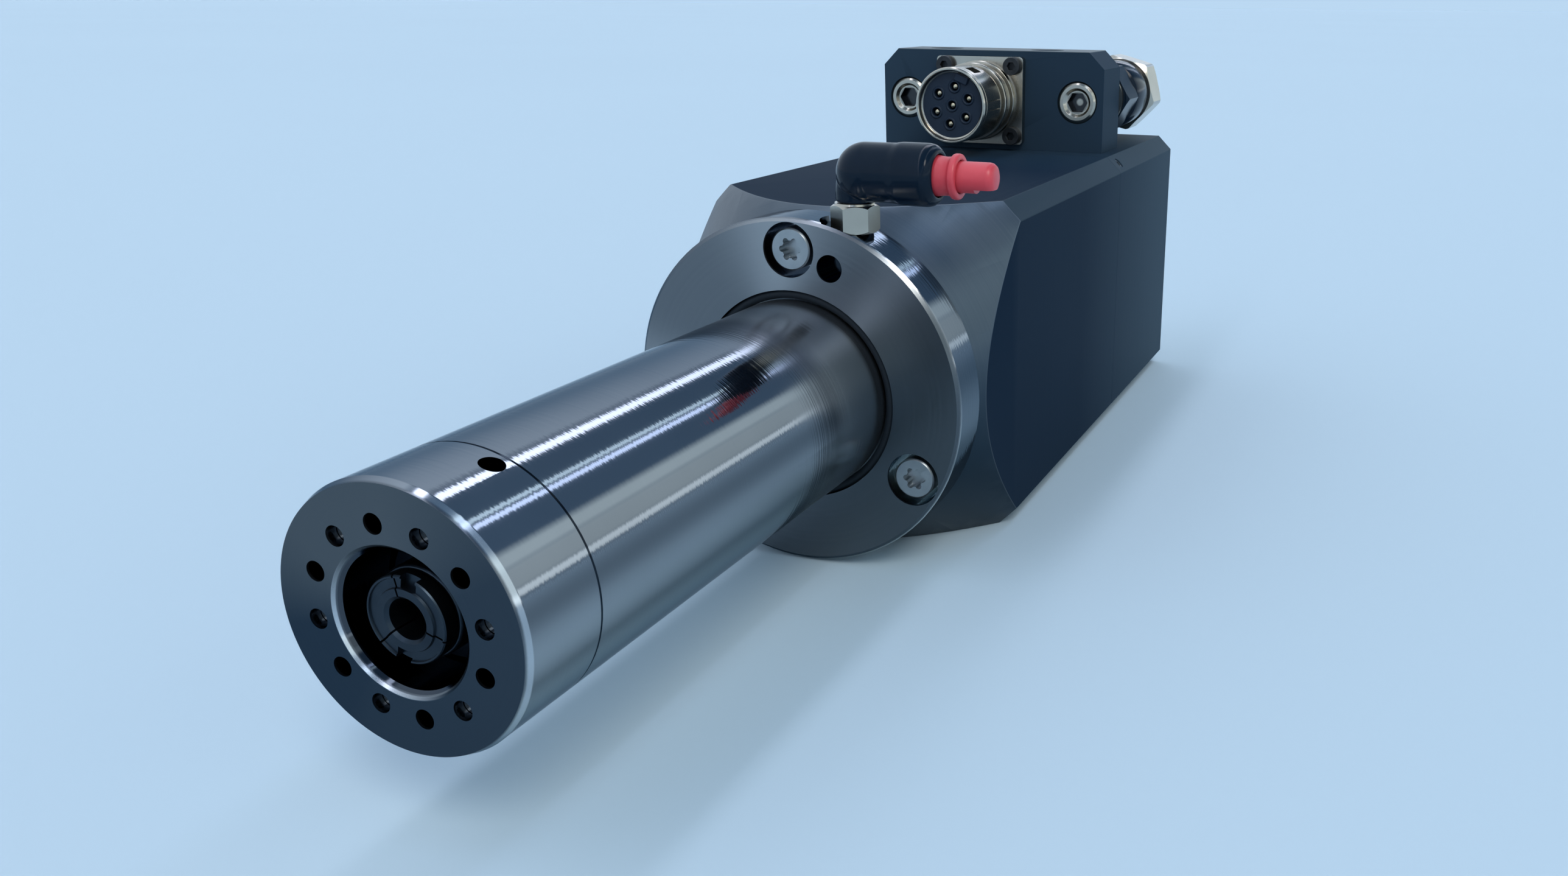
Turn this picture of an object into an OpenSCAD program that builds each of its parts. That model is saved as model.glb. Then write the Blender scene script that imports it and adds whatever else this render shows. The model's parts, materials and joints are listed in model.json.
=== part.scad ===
// Motor spindle for engraving: a slim round nose, a screwed flange and a square motor housing.
// The spindle axis is Y. The nose points to -Y and the flange's front face lies at y = 0.
// +Z is up, towards the connector block, and +X is right as seen from behind the nose.

/* [Nose] */
// Diameter of the clamping nose
nose_d = 40; // [40:0.5:42]
// Length of the nose from its front face to the flange
nose_length = 107.5; // [100:0.5:130]
// Length of the front cap
cap_length = 15.1; // [14:0.1:18]
// Thickness of the front cap's end wall
cap_wall = 5; // [4:0.1:6]
// Diameter of the opening in the front cap
cap_bore_d = 20.2; // [20:0.1:21]
// Chamfer at the mouth of the front cap
cap_mouth_chamfer = 0.95; // [0.5:0.05:1.1]
// Number of small holes in the front cap
cap_holes = 12; // [8:2:12]
// Diameter of the small holes
cap_hole_d = 3; // [2.6:0.1:3.2]
// Pitch circle of the small holes
cap_hole_circle_d = 27.8; // [27:0.1:28.6]
// Angle of the first small hole from +X
cap_hole_angle = 7; // [0:1:29]
// Diameter of the radial hole for the shaft locking pin
lock_hole_d = 3.6; // [2.5:0.1:4.5]
// Angle of the locking hole from +X
lock_hole_angle = 69.3; // [40:0.1:140]
// Distance from the locking hole to the seam behind it
lock_hole_to_seam = 2.7; // [2.4:0.1:4]

/* [Flange] */
// Distance from the flange's rim to the housing's sides
flange_inset = 0.4; // [0:0.1:1]
// Thickness of the flange
flange_t = 11.4; // [10:0.2:14]
// Chamfer on the flange's edges
flange_chamfer = 0.8; // [0.3:0.1:1.5]
// Width of the seal groove round the nose in the flange's face
groove_w = 1.9; // [1.5:0.1:2.5]
// Depth of the seal groove
groove_depth = 2.2; // [1.5:0.1:3]
// Distance of the three flange screws from the flange's rim
flange_screw_inset = 6.4; // [6:0.1:7.5]
// Head diameter of the flange screws
flange_screw_head_d = 8.5; // [8:0.1:9]
// Head height of the flange screws
flange_screw_head_h = 5; // [4:0.5:5.5]
// Thread diameter of the flange and cover screws
screw_d = 5; // [4:0.5:5]
// Diameter of the locating hole in the flange
locating_hole_d = 5.5; // [4:0.1:6]
// Depth of the locating hole
locating_hole_depth = 4.2; // [3:0.1:4.4]
// Distance of the locating hole from the flange's rim
locating_hole_inset = 8.1; // [7.8:0.1:9]
// Angle of the locating hole from +X
locating_hole_angle = 71.8; // [68:0.1:73]
// Length of the spigot behind the flange
spigot_length = 6; // [4:0.5:7]
// Diameter of the spigot
spigot_d = 44; // [42:0.5:46]

/* [Bearings] */
// Bore of the ball bearings
bearing_bore = 17; // [17:0.5:18]
// Outer diameter of the ball bearings
bearing_od = 30; // [30:0.5:31]
// Width of one bearing
bearing_w = 7; // [6:0.5:8]
// Width of the spacers between the front bearings
spacer_w = 6; // [3:0.5:10]
// Diameter of the balls
ball_d = 3.6; // [3:0.1:3.8]
// Number of balls in one bearing
balls = 14; // [10:1:14]
// Bore of the sleeve behind the front bearings
sleeve_bore_d = 27; // [26.6:0.1:27.2]
// Length of the bearing clamp ring behind the seam
clamp_ring_depth = 7; // [5:0.5:10]

/* [Shaft] */
// Gap between the cap's face and the collet's face behind it
collet_setback = 1; // [0.5:0.1:3]
// Diameter of the collet's collar
collet_collar_d = 12.8; // [12.4:0.1:13]
// Thickness of the collet's collar
collet_collar_t = 2.1; // [1.5:0.1:3]
// Shank diameter that the collet holds
tool_bore_d = 6; // [3:0.5:6]
// Depth of the tool bore
tool_bore_depth = 22; // [18:1:24]
// Diameter of the slim shaft nose
shaft_nose_d = 13.6; // [13.4:0.1:14.5]
// Distance from the cap's face to the shaft's front shoulder
shoulder_depth = 9.5; // [8:0.5:11]
// Diameter of the shaft's front shoulder
shoulder_d = 19.4; // [19:0.1:19.6]
// Length of the shaft past the rear cover's seam
shaft_overhang = 9.5; // [8:0.5:13]
// Bore of the spring chamber in the shaft
spring_bore_d = 12.4; // [12:0.1:12.8]
// Diameter of the draw bar
drawbar_d = 6; // [5:0.1:6.4]
// Forward stroke of the draw bar when it releases a tool
release_stroke = 3; // [2:0.5:3.5]
// Number of disc springs in the stack
discs = 28; // [20:2:32]
// Height of one disc spring in the stack
disc_pitch = 2; // [1.6:0.1:2.2]

/* [Motor] */
// Room for the winding ends between the stator core and the rear bearing shield
winding_room = 14; // [11:0.5:24]
// Diameter of the rotor
rotor_d = 26.4; // [26:0.1:26.6]
// Distance from the flange's front face to the rotor core
rotor_start = 30; // [28:1:34]
// Air gap between rotor and stator
air_gap = 0.5; // [0.3:0.1:1]
// Wall of the housing beside the stator core
stator_wall = 6.8; // [5.8:0.1:8]

/* [Housing] */
// Width and height of the square housing
housing_w = 73.6; // [73.4:0.2:78]
// Chamfer along the housing's four edges
housing_chamfer = 4; // [2:0.2:5]
// Length of the main housing
main_length = 109.1; // [108:0.1:116]
// Length of the rear cover
cover_length = 64; // [62:0.5:70]
// Growth of the cone's radius for each millimetre of length
cone_slope = 0.6; // [0.5:0.05:0.8]
// Thickness of the housing's front wall
front_wall = 8; // [7:0.5:10]
// Distance of the rear cover's screws from the housing's sides
cover_screw_inset = 7.3; // [6.8:0.1:7.8]

/* [Release cylinder] */
// Bore of the release cylinder
cylinder_d = 48; // [46:0.5:50]
// Thickness of the piston's disc
piston_t = 8; // [7:0.5:9]
// Diameter of the piston's push stem
stem_d = 16; // [14:0.5:18]
// Thickness of the cylinder's front plate
plate_t = 5; // [4:0.5:6]
// Distance from the rear cover's front to the cylinder's front plate
plate_start = 28.5; // [28:0.5:30]
// Gap between the push stem and the draw bar at rest
push_gap = 0.5; // [0.4:0.1:0.8]

/* [Connector block] */
// Width of the block
block_w = 65.4; // [62:0.2:68]
// Depth of the block along the spindle axis
block_depth = 17.3; // [16:0.1:20]
// Height of the block over the housing
block_h = 26.9; // [26:0.1:30]
// Chamfer on the block's upper corners
block_chamfer = 4.5; // [3:0.1:6]
// Position of the block's middle along X
block_x = -3.5; // [-5:0.1:0]
// Distance from the rear cover's front to the block
block_start = 7.5; // [6:0.1:9]
// Distance from the power connector to the block's middle
power_offset = -2.7; // [-4:0.1:0]
// Width of the power connector's square plate
power_plate_w = 25.5; // [25:0.1:26]
// Spacing of the power connector's screws
power_screw_spacing = 19.8; // [19.6:0.1:20]
// Outer diameter of the power connector's shell
power_shell_d = 19.8; // [19:0.1:20.5]
// Reach of the power connector in front of the block
power_reach = 25; // [22:0.5:28]
// Distance of the air channel plugs from the block's middle
plug_offset = 25.2; // [24.8:0.1:25.4]
// Head diameter of the air channel plugs
plug_head_d = 11.4; // [10:0.1:12]
// Diameter of the air channels
channel_d = 6; // [4:0.5:7]

/* [Hose fitting] */
// Diameter of the hose fitting's dark sleeve
sleeve_ring_d = 19.6; // [18:0.1:21]
// Length of the sleeve
sleeve_ring_length = 27; // [24:0.5:30]
// Width across flats of the union nut
union_af = 20; // [19:0.5:22]
// Length of the union nut
union_length = 17; // [14:0.5:20]
// Diameter of the hose that the fitting takes
hose_d = 8; // [6:1:8]

/* [Elbow fitting] */
// Position of the elbow along X
elbow_x = 12.2; // [11.5:0.1:13]
// Depth of the elbow's seat in the flange's rim
elbow_sink = 2.8; // [2.4:0.1:3]
// Width across flats of the elbow's hexagon
elbow_af = 8.4; // [7:0.1:9]
// Height of the elbow's hexagon
elbow_hex_h = 5.8; // [5.4:0.1:7]
// Diameter of the elbow's arm
elbow_arm_d = 11.8; // [11:0.1:12]
// Reach of the elbow's arm from the swivel axis
elbow_reach = 18; // [17:0.1:21]
// Diameter of the air tube that the elbow takes
tube_d = 6; // [4:0.5:6]
// Travel of the release ring
ring_travel = 1.2; // [0.8:0.1:1.4]
// Length of the blanking plug outside the arm
plug_reach = 11.4; // [10:0.1:14]

/* [Clearances] */
// Radial clearance between fitted parts that stay together
seat_gap = 0.03; // [0.02:0.01:0.05]
// Radial running clearance of sliding and turning parts
run_gap = 0.05; // [0.04:0.01:0.1]
// Clearance between parts that pass each other
free_gap = 0.3; // [0.2:0.05:0.4]

/* [Hidden] */
$fn = 96;

nose_r = nose_d / 2;
half_w = housing_w / 2;
flange_r = half_w - flange_inset;
flange_screw_r = flange_r - flange_screw_inset;
groove_r = nose_r + groove_w;
groove_undercut = 0.25;
flange_head_sink = 0.8;
flange_head_gap = 1.3;
hole_gap = 0.25;
cut = 1;
nose_face = -nose_length;
seam_y = nose_face + cap_length;
cap_inner = nose_face + cap_wall;
bearing_r = bearing_od / 2;
bearing_1 = seam_y + clamp_ring_depth;
bearing_2 = bearing_1 + bearing_w + spacer_w;
front_bearing_end = bearing_2 + bearing_w;
shoulder_y = nose_face + shoulder_depth;
spigot_end = flange_t + spigot_length;
wall_end = flange_t + front_wall;
cover_y = flange_t + main_length;
rear_y = cover_y + cover_length;
shaft_tail = cover_y + shaft_overhang;

// Clamp ring: the threaded ring that holds the front bearings and carries the cap
clamp_ring_d = bearing_od + 1.8;
ring_recess = 3;
ring_seat_r = clamp_ring_d / 2 + seat_gap;
skirt_inner_r = clamp_ring_d / 2 + free_gap;
edge_break = 0.15;
cap_edge_radial = 0.5;
cap_edge_axial = 1.2;
cap_screw_head_d = 2.8;
cap_screw_d = 1.6;
cap_screw_sink = 1.8;
cap_screw_length = 9;
air_gallery_depth = 1.4;
lock_hole_bottom = 6.2;

// Bearings
race_r = (bearing_bore + bearing_od) / 4;
race_wall = 1.9;
inner_ring_r = bearing_bore / 2 + race_wall;
outer_ring_r = bearing_r - race_wall;
shield_lip = 2;
preload_w = 1.5;
rear_seat_depth = 13;
rear_seat = cover_y - rear_seat_depth;
rear_bearing_1 = rear_seat;
pair_gap = 0.04;
rear_bearing_2 = rear_seat + bearing_w + pair_gap;
rear_bearing_end = rear_bearing_2 + bearing_w;
shield_y = rear_seat - preload_w - shield_lip;
shield_wall = 5.3;
shield_r = half_w - shield_wall;
shield_gap = 0.9;
hub_wall = 5.6;
hub_r = bearing_r + hub_wall;
hub_lip = 3;
hub_end = rear_bearing_end + hub_lip;
nut_w = 5;
nut_d = 24.5;
nut_slot = 3;

// Shaft and draw bar
shaft_r = bearing_bore / 2 - seat_gap;
collet_face = nose_face + collet_setback;
collar_end = collet_face + collet_collar_t;
collar_gap = 0.5;
shaft_front = collar_end + collar_gap;
cone_mouth_r = 5.8;
cone_end_r = 4.5;
cone_length = 12;
collet_length = 32;
collet_tail_end = collar_end + collet_length;
collet_r = cone_end_r;
collet_bore_r = collet_r + run_gap;
cone_end_y = shaft_front + cone_length;
spring_inset = 12;
spring_seat = shaft_tail - spring_inset - discs * disc_pitch;
spring_end = spring_seat + discs * disc_pitch;
drawbar_r = drawbar_d / 2;
head_r = spring_bore_d / 2 - run_gap;
head_y = spring_end + free_gap;
plate_y = cover_y + plate_start;
push_nose = 1;
head_end = plate_y - push_gap - push_nose;
disc_r = spring_bore_d / 2 - 0.2;
disc_inner_r = drawbar_r + 0.15;
disc_t = 0.8;
stud_d = 3.4;
stud_length = 8;
head_stud_length = 12;
slit_w = 0.5;
slit_length = 20;
slit_turn = 20;
notch_w = 2.4;
notch_depth = 1.2;
notch_wall = 1.5;
notch_angle = 77;
lock_y = seam_y - lock_hole_to_seam;

// Motor
stator_r = half_w - stator_wall;
stator_bore_r = rotor_d / 2 + air_gap;
rotor_end = shield_y - winding_room;
balance_w = 5;
winding_w = 9.5;
winding_corner = 3;
housing_bore_r = stator_r + seat_gap;

// Release cylinder
cylinder_y = plate_y + plate_t;
piston_travel_gap = 0.5;
piston_y = cylinder_y + release_stroke + piston_travel_gap;
piston_end = piston_y + piston_t;
cylinder_room = 2;
cylinder_end = piston_end + cylinder_room;
cover_screw_offset = half_w - cover_screw_inset;
cover_screw_sink = flange_screw_head_h + 0.4;
cover_screw_grip = 12;
air_hole_d = 3;
air_hole_inset = 5.5;
cylinder_r = cylinder_d / 2;
piston_r = cylinder_r - run_gap;
stem_r = stem_d / 2;
cover_bore_r = shield_r + seat_gap;
seal_w = 2.4;
return_spring_r = 17;
return_spring_d = 5;
return_pocket = 4.5;
return_seat = 1.5;
return_wire = 0.7;

// Block
block_y = cover_y + block_start;
block_back = block_y + block_depth;
block_left = block_x - block_w / 2;
block_right = block_x + block_w / 2;
block_z = half_w + block_h / 2;
block_top = half_w + block_h;
power_x = block_x + power_offset;
plug_x = block_x + plug_offset;
blind_plug_x = block_x - plug_offset;
power_plate_t = 2.4;
power_plate_h = 23.6;
shell_r = power_shell_d / 2;
shell_front = block_y - power_reach;
shell_bore_r = shell_r - 1.5;
insert_r = shell_bore_r - seat_gap;
insert_front = shell_front + 1.6;
contact_circle_r = 4.9;
contact_hole_r = 1.15;
contact_r = 0.55;
contact_sink = 1;
contact_depth = 4;
plate_screw_inset = 2.4;
plate_screw_r = 1.2;
plate_head_r = 2.4;
plate_head_h = 2.2;
plate_screw_grip = 5.5;
plate_socket_af = 2;
plate_sink = 0.2;
plug_head_t = 5;
plug_proud = 0.4;
plug_rim = 0.9;
plug_sink_r = 3.9;
plug_sink_end_r = 3.2;
plug_sink_depth = 0.8;
plug_socket_af = 5;
plug_socket_depth = 3.4;
block_screw_x = [power_x - 13.9, power_x + 16.4];
block_screw_head_d = 8.5;
block_screw_head_h = 5;
block_screw_sink = 5.6;
block_screw_grip = 6;
block_screw_z = half_w - block_screw_grip;
socket_af = 4;
socket_depth = 2.5;
wire_hole_d = 12;
seal_depth = 1.2;
seal_ring_w = 2.5;

// Hose fitting
fitting_base_d = 17;
fitting_base_t = 1.6;
fitting_thread_r = 4.8;
fitting_tube_r = hose_d / 2 + 1.3;
fitting_end = block_back + fitting_base_t + sleeve_ring_length;
nut_start = fitting_end + free_gap;
nut_end = nut_start + union_length;
thread_depth = 7;

// Elbow
elbow_shift = 0.2;
elbow_y = flange_t / 2 - elbow_shift;
elbow_seat_z = flange_r - elbow_sink;
hex_top = elbow_seat_z + elbow_hex_h;
arm_r = elbow_arm_d / 2;
arm_z = hex_top + arm_r;
neck_r = 4.3;
neck_top_r = 3.7;
dome_shift = 2.4;
arm_start = elbow_x + dome_shift;
arm_end = elbow_x + elbow_reach;
collar_length = 7.6;
collar_start = arm_end - collar_length;
collar_step = 0.25;
hex_turn = 25.8;
pivot_r = 2.6;
pivot_h = 3;
air_r = 1.2;
tube_r = tube_d / 2 - run_gap;
tube_bore_r = tube_d / 2 + run_gap;
ring_bore_r = tube_d / 2 + 0.1;
ring_sleeve_r = tube_d / 2 + 0.8;
ring_neck_r = 3.9;
ring_flange_r = 4.3;
ring_seat_depth = 6.5;
stop_depth = 14;
stud_r = 2.5;
stud_reach = 3.8;
gallery_r = 17.7;
gallery_d = 1.8;
gallery_z = sqrt(gallery_r * gallery_r - elbow_x * elbow_x);
pocket_r = 7;
pocket_front = 0.6;

// Turns a shape so that its own Z axis runs along +Y, from the given distance
module along_y(y = 0) {
    translate([0, y, 0]) rotate([-90, 0, 0]) children();
}

// Turns an outline of [radius, distance along Y] round the spindle axis
module turned(outline) {
    along_y() rotate_extrude() polygon(outline);
}

// A plain ring on the spindle axis
module ring(inner, outer, start, end) {
    turned([[inner, start], [outer, start], [outer, end], [inner, end]]);
}

// Places its children at an angle and a distance from the spindle axis
module at_angle(angle, distance) {
    translate([distance * cos(angle), 0, distance * sin(angle)]) children();
}

// A round bar or drill along Y
module bar(r, start, end) {
    along_y(start) cylinder(r = r, h = end - start);
}

// A square with cut corners, centred on the axis
module cut_square(width, cut) {
    half = width / 2;
    polygon([[half, half - cut], [half - cut, half], [cut - half, half], [-half, half - cut],
        [-half, cut - half], [cut - half, -half], [half - cut, -half], [half, cut - half]]);
}

// A hexagonal drive or nut shape along local Z, given its width across flats
module hexagon(flats, h) {
    cylinder(d = flats / cos(30), h = h, $fn = 6);
}

// A six-lobed drive recess
module lobed_drive(d, h) {
    cylinder(d = d * 0.74, h = h);
    for (i = [0:5]) rotate(i * 60) translate([d * 0.37, 0, 0]) cylinder(d = d * 0.26, h = h);
}

// Positions of the front cap's holes
module cap_hole_places(first, step) {
    for (i = [first:step:cap_holes - 1]) {
        at_angle(cap_hole_angle + i * 360 / cap_holes, cap_hole_circle_d / 2) children();
    }
}

module flange_screw_places() {
    for (angle = [90, 210, 330]) at_angle(angle, flange_screw_r) children();
}

module cover_screw_places() {
    for (x = [-1, 1], z = [-1, 1]) {
        translate([x * cover_screw_offset, 0, z * cover_screw_offset]) children();
    }
}

// Nose sleeve: round tube, flange and rear spigot in one piece
module nose_sleeve() {
    color("silver") difference() {
        turned([
            [ring_seat_r, seam_y],
            [nose_r - edge_break, seam_y],
            [nose_r, seam_y + edge_break],
            [nose_r, 0],
            [nose_r - groove_undercut, 0],
            [nose_r - groove_undercut, groove_depth],
            [groove_r, groove_depth],
            [groove_r, 0],
            [flange_r - flange_chamfer, 0],
            [flange_r, flange_chamfer],
            [flange_r, flange_t - flange_chamfer],
            [flange_r - flange_chamfer, flange_t],
            [spigot_d / 2, flange_t],
            [spigot_d / 2, spigot_end],
            [sleeve_bore_d / 2, spigot_end],
            [sleeve_bore_d / 2, front_bearing_end],
            [bearing_r + seat_gap, front_bearing_end],
            [bearing_r + seat_gap, bearing_1],
            [ring_seat_r, bearing_1]
        ]);
        flange_screw_places() {
            bar(screw_d / 2 + hole_gap, -cut, flange_t + cut);
            bar(flange_screw_head_d / 2 + flange_head_gap, -cut, flange_screw_head_h + flange_head_sink);
        }
        at_angle(locating_hole_angle, flange_r - locating_hole_inset) {
            bar(locating_hole_d / 2, -cut, locating_hole_depth);
        }
        intersection() {
            translate([elbow_x, elbow_y, elbow_seat_z]) cylinder(r = pocket_r, h = flange_r);
            translate([0, pocket_front, 0]) cube([flange_r, flange_t, 2 * flange_r]);
        }
        translate([elbow_x, elbow_y, elbow_seat_z - stud_reach - 0.2]) {
            cylinder(r = stud_r + seat_gap, h = stud_reach + cut);
        }
        translate([elbow_x, elbow_y, gallery_z]) cylinder(d = gallery_d, h = elbow_seat_z - gallery_z);
        translate([elbow_x, 0, gallery_z]) bar(gallery_d / 2, seam_y - cut, elbow_y);
    }
}

// Front cap: end wall with the ring of holes and a skirt back to the seam
module front_cap() {
    mouth = cap_bore_d / 2;
    color("slategray") difference() {
        turned([
            [mouth + cap_mouth_chamfer, nose_face],
            [nose_r - cap_edge_radial, nose_face],
            [nose_r, nose_face + cap_edge_axial],
            [nose_r, seam_y - edge_break],
            [nose_r - edge_break, seam_y],
            [skirt_inner_r, seam_y],
            [skirt_inner_r, cap_inner],
            [mouth, cap_inner],
            [mouth, nose_face + cap_mouth_chamfer]
        ]);
        cap_hole_places(1, 2) bar(cap_hole_d / 2, nose_face - 1, cap_inner + 1);
        cap_hole_places(0, 2) {
            bar(cap_hole_d / 2, nose_face - 1, nose_face + cap_screw_sink + cap_screw_d);
            bar(cap_screw_d / 2 + seat_gap, nose_face, cap_inner + 1);
        }
        rotate([0, 90 - lock_hole_angle, 0]) translate([0, lock_y, 0]) {
            cylinder(d = lock_hole_d, h = nose_r + 1);
        }
    }
}

// Cap screws: six small screws sunk in every second hole of the cap
module cap_screws() {
    color("dimgray") cap_hole_places(0, 2) {
        head = nose_face + cap_screw_sink;
        difference() {
            union() {
                bar(cap_screw_head_d / 2, head, head + cap_screw_d);
                bar(cap_screw_d / 2, head, head + cap_screw_length);
            }
            along_y(head - 1) hexagon(1.3, 1.8);
        }
    }
}

// Bearing clamp ring: threads into the sleeve, holds the front bearings and takes the cap
module bearing_clamp_ring() {
    outer = clamp_ring_d / 2;
    inner = cap_bore_d / 2;
    gallery_in = cap_hole_circle_d / 2 - 2;
    gallery_out = cap_hole_circle_d / 2 + 1.4;
    color("gray") difference() {
        turned([
            [inner, cap_inner],
            [gallery_in, cap_inner],
            [gallery_in, cap_inner + air_gallery_depth],
            [gallery_out, cap_inner + air_gallery_depth],
            [gallery_out, cap_inner + air_gallery_depth / 2],
            [outer, cap_inner + air_gallery_depth / 2],
            [outer, bearing_1],
            [outer_ring_r, bearing_1],
            [outer_ring_r, bearing_1 - ring_recess],
            [inner, bearing_1 - ring_recess]
        ]);
        cap_hole_places(0, 2) bar(cap_screw_d / 2 + seat_gap, cap_inner, cap_inner + cap_screw_length);
        rotate([0, 90 - lock_hole_angle, 0]) translate([0, lock_y, 0]) {
            cylinder(d = lock_hole_d, h = nose_r + 1);
        }
    }
}

// Seal ring in the flange's face groove
module flange_seal_ring() {
    middle = nose_r + groove_w / 2;
    cord = groove_w / 2 - seat_gap;
    color("black") along_y(groove_depth - cord) rotate_extrude() translate([middle, 0]) circle(r = cord, $fn = 32);
}

// Flange screws: three six-lobed cap screws into the motor housing
module flange_screws() {
    color("lightgray") flange_screw_places() {
        edge = 0.3;
        drive_depth = 2.4;
        difference() {
            union() {
                along_y(flange_head_sink) rotate_extrude() polygon([
                    [0, 0],
                    [flange_screw_head_d / 2 - edge, 0],
                    [flange_screw_head_d / 2, edge],
                    [flange_screw_head_d / 2, flange_screw_head_h],
                    [0, flange_screw_head_h]
                ]);
                bar(screw_d / 2, flange_head_sink, wall_end - cut);
            }
            along_y(flange_head_sink - cut) lobed_drive(screw_d * 0.96, drive_depth + cut);
        }
    }
}

// One outer ring of a ball bearing
module outer_ring(start) {
    groove = ball_d / 2 + run_gap;
    color("lightsteelblue") difference() {
        ring(outer_ring_r, bearing_r, start, start + bearing_w);
        along_y(start + bearing_w / 2) rotate_extrude() translate([race_r, 0]) circle(r = groove, $fn = 48);
    }
}

// One inner ring of a ball bearing
module inner_ring(start) {
    groove = ball_d / 2 + run_gap;
    color("lightsteelblue") difference() {
        ring(bearing_bore / 2, inner_ring_r, start, start + bearing_w);
        along_y(start + bearing_w / 2) rotate_extrude() translate([race_r, 0]) circle(r = groove, $fn = 48);
    }
}

// The balls of one bearing
module ball_row(start) {
    color("whitesmoke") for (i = [0:balls - 1]) {
        at_angle(i * 360 / balls, race_r) translate([0, start + bearing_w / 2, 0]) sphere(d = ball_d, $fn = 48);
    }
}

module front_outer_rings() {
    outer_ring(bearing_1);
    outer_ring(bearing_2);
}

module front_outer_spacer() {
    color("silver") ring(outer_ring_r + 0.2, bearing_r, bearing_1 + bearing_w, bearing_2);
}

module front_inner_rings() {
    inner_ring(bearing_1);
    inner_ring(bearing_2);
}

module front_inner_spacer() {
    color("silver") ring(bearing_bore / 2, inner_ring_r - 0.2, bearing_1 + bearing_w, bearing_2);
}

module front_balls() {
    ball_row(bearing_1);
    ball_row(bearing_2);
}

module rear_outer_rings() {
    outer_ring(rear_bearing_1);
    outer_ring(rear_bearing_2);
}

module rear_inner_rings() {
    inner_ring(rear_bearing_1);
    inner_ring(rear_bearing_2);
}

module rear_balls() {
    ball_row(rear_bearing_1);
    ball_row(rear_bearing_2);
}

// A slotted lock nut on the shaft
module lock_nut(start) {
    color("gray") difference() {
        ring(bearing_bore / 2, nut_d / 2, start, start + nut_w);
        for (angle = [0:90:270]) rotate([0, angle, 0]) {
            translate([nut_d / 2 - nut_slot / 2, start - cut, -nut_slot / 2]) {
                cube([nut_slot, nut_w + 2 * cut, nut_slot]);
            }
        }
    }
}

module front_lock_nut() {
    lock_nut(front_bearing_end);
}

module rear_lock_nut() {
    lock_nut(rear_bearing_end);
}

// Main housing: square motor housing whose front runs out into a cone
module main_housing() {
    cone_start_r = flange_r - flange_chamfer;
    wide_end_r = cone_start_r + cone_slope * main_length;
    color("darkslategray") difference() {
        intersection() {
            along_y(flange_t) linear_extrude(main_length) cut_square(housing_w, housing_chamfer);
            along_y(flange_t) cylinder(r1 = cone_start_r, r2 = wide_end_r, h = main_length);
        }
        bar(spigot_d / 2 + seat_gap, flange_t - cut, wall_end + cut);
        bar(housing_bore_r, wall_end, cover_y + cut);
        bar(cover_bore_r, shield_y, cover_y + cut);
        flange_screw_places() bar(screw_d / 2 + seat_gap, flange_t - cut, wall_end - cut / 2);
        cover_screw_places() bar(screw_d / 2 + seat_gap, cover_y - cover_screw_grip - 0.5, cover_y + cut);
    }
}

// Stator core: laminated ring round the rotor
module stator_core() {
    slots = 12;
    slot_r = 0.7;
    color("dimgray") difference() {
        ring(stator_bore_r, stator_r, rotor_start, rotor_end);
        for (i = [0:slots - 1]) at_angle((i + 0.5) * 360 / slots, stator_bore_r) {
            bar(slot_r, rotor_start - cut, rotor_end + cut);
        }
    }
}

// Section of one winding end turn, rounded on the side away from the core
module end_turn_section() {
    inner = stator_bore_r + 2.5;
    outer = stator_r - 3;
    corner = winding_corner;
    translate([inner, corner]) square([outer - inner, winding_w - corner]);
    translate([inner + corner, 0]) square([outer - inner - 2 * corner, winding_w]);
    for (x = [inner + corner, outer - corner]) translate([x, corner]) circle(r = corner, $fn = 48);
}

// Stator windings: the rounded end turns on both sides of the core
module stator_windings() {
    color("peru") {
        along_y(rotor_start - winding_w) rotate_extrude() end_turn_section();
        along_y(rotor_end + winding_w) mirror([0, 0, 1]) rotate_extrude() end_turn_section();
    }
}

// Rear bearing shield: disc with the hub of the rear bearings
module rear_bearing_shield() {
    color("silver") difference() {
        turned([
            [inner_ring_r + shield_gap, shield_y],
            [shield_r, shield_y],
            [shield_r, cover_y],
            [hub_r, cover_y],
            [hub_r, hub_end],
            [bearing_r + seat_gap, hub_end],
            [bearing_r + seat_gap, shield_y + shield_lip],
            [inner_ring_r + shield_gap, shield_y + shield_lip]
        ]);
        for (angle = [90, 210, 330]) at_angle(angle, shield_r - 6) bar(3, shield_y - cut, cover_y + cut);
    }
}

// Preload spring: wave washer in front of the rear bearings
module preload_spring() {
    start = shield_y + shield_lip;
    color("silver") ring(outer_ring_r + 0.3, bearing_r - 0.3, start, rear_bearing_1);
}

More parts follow.
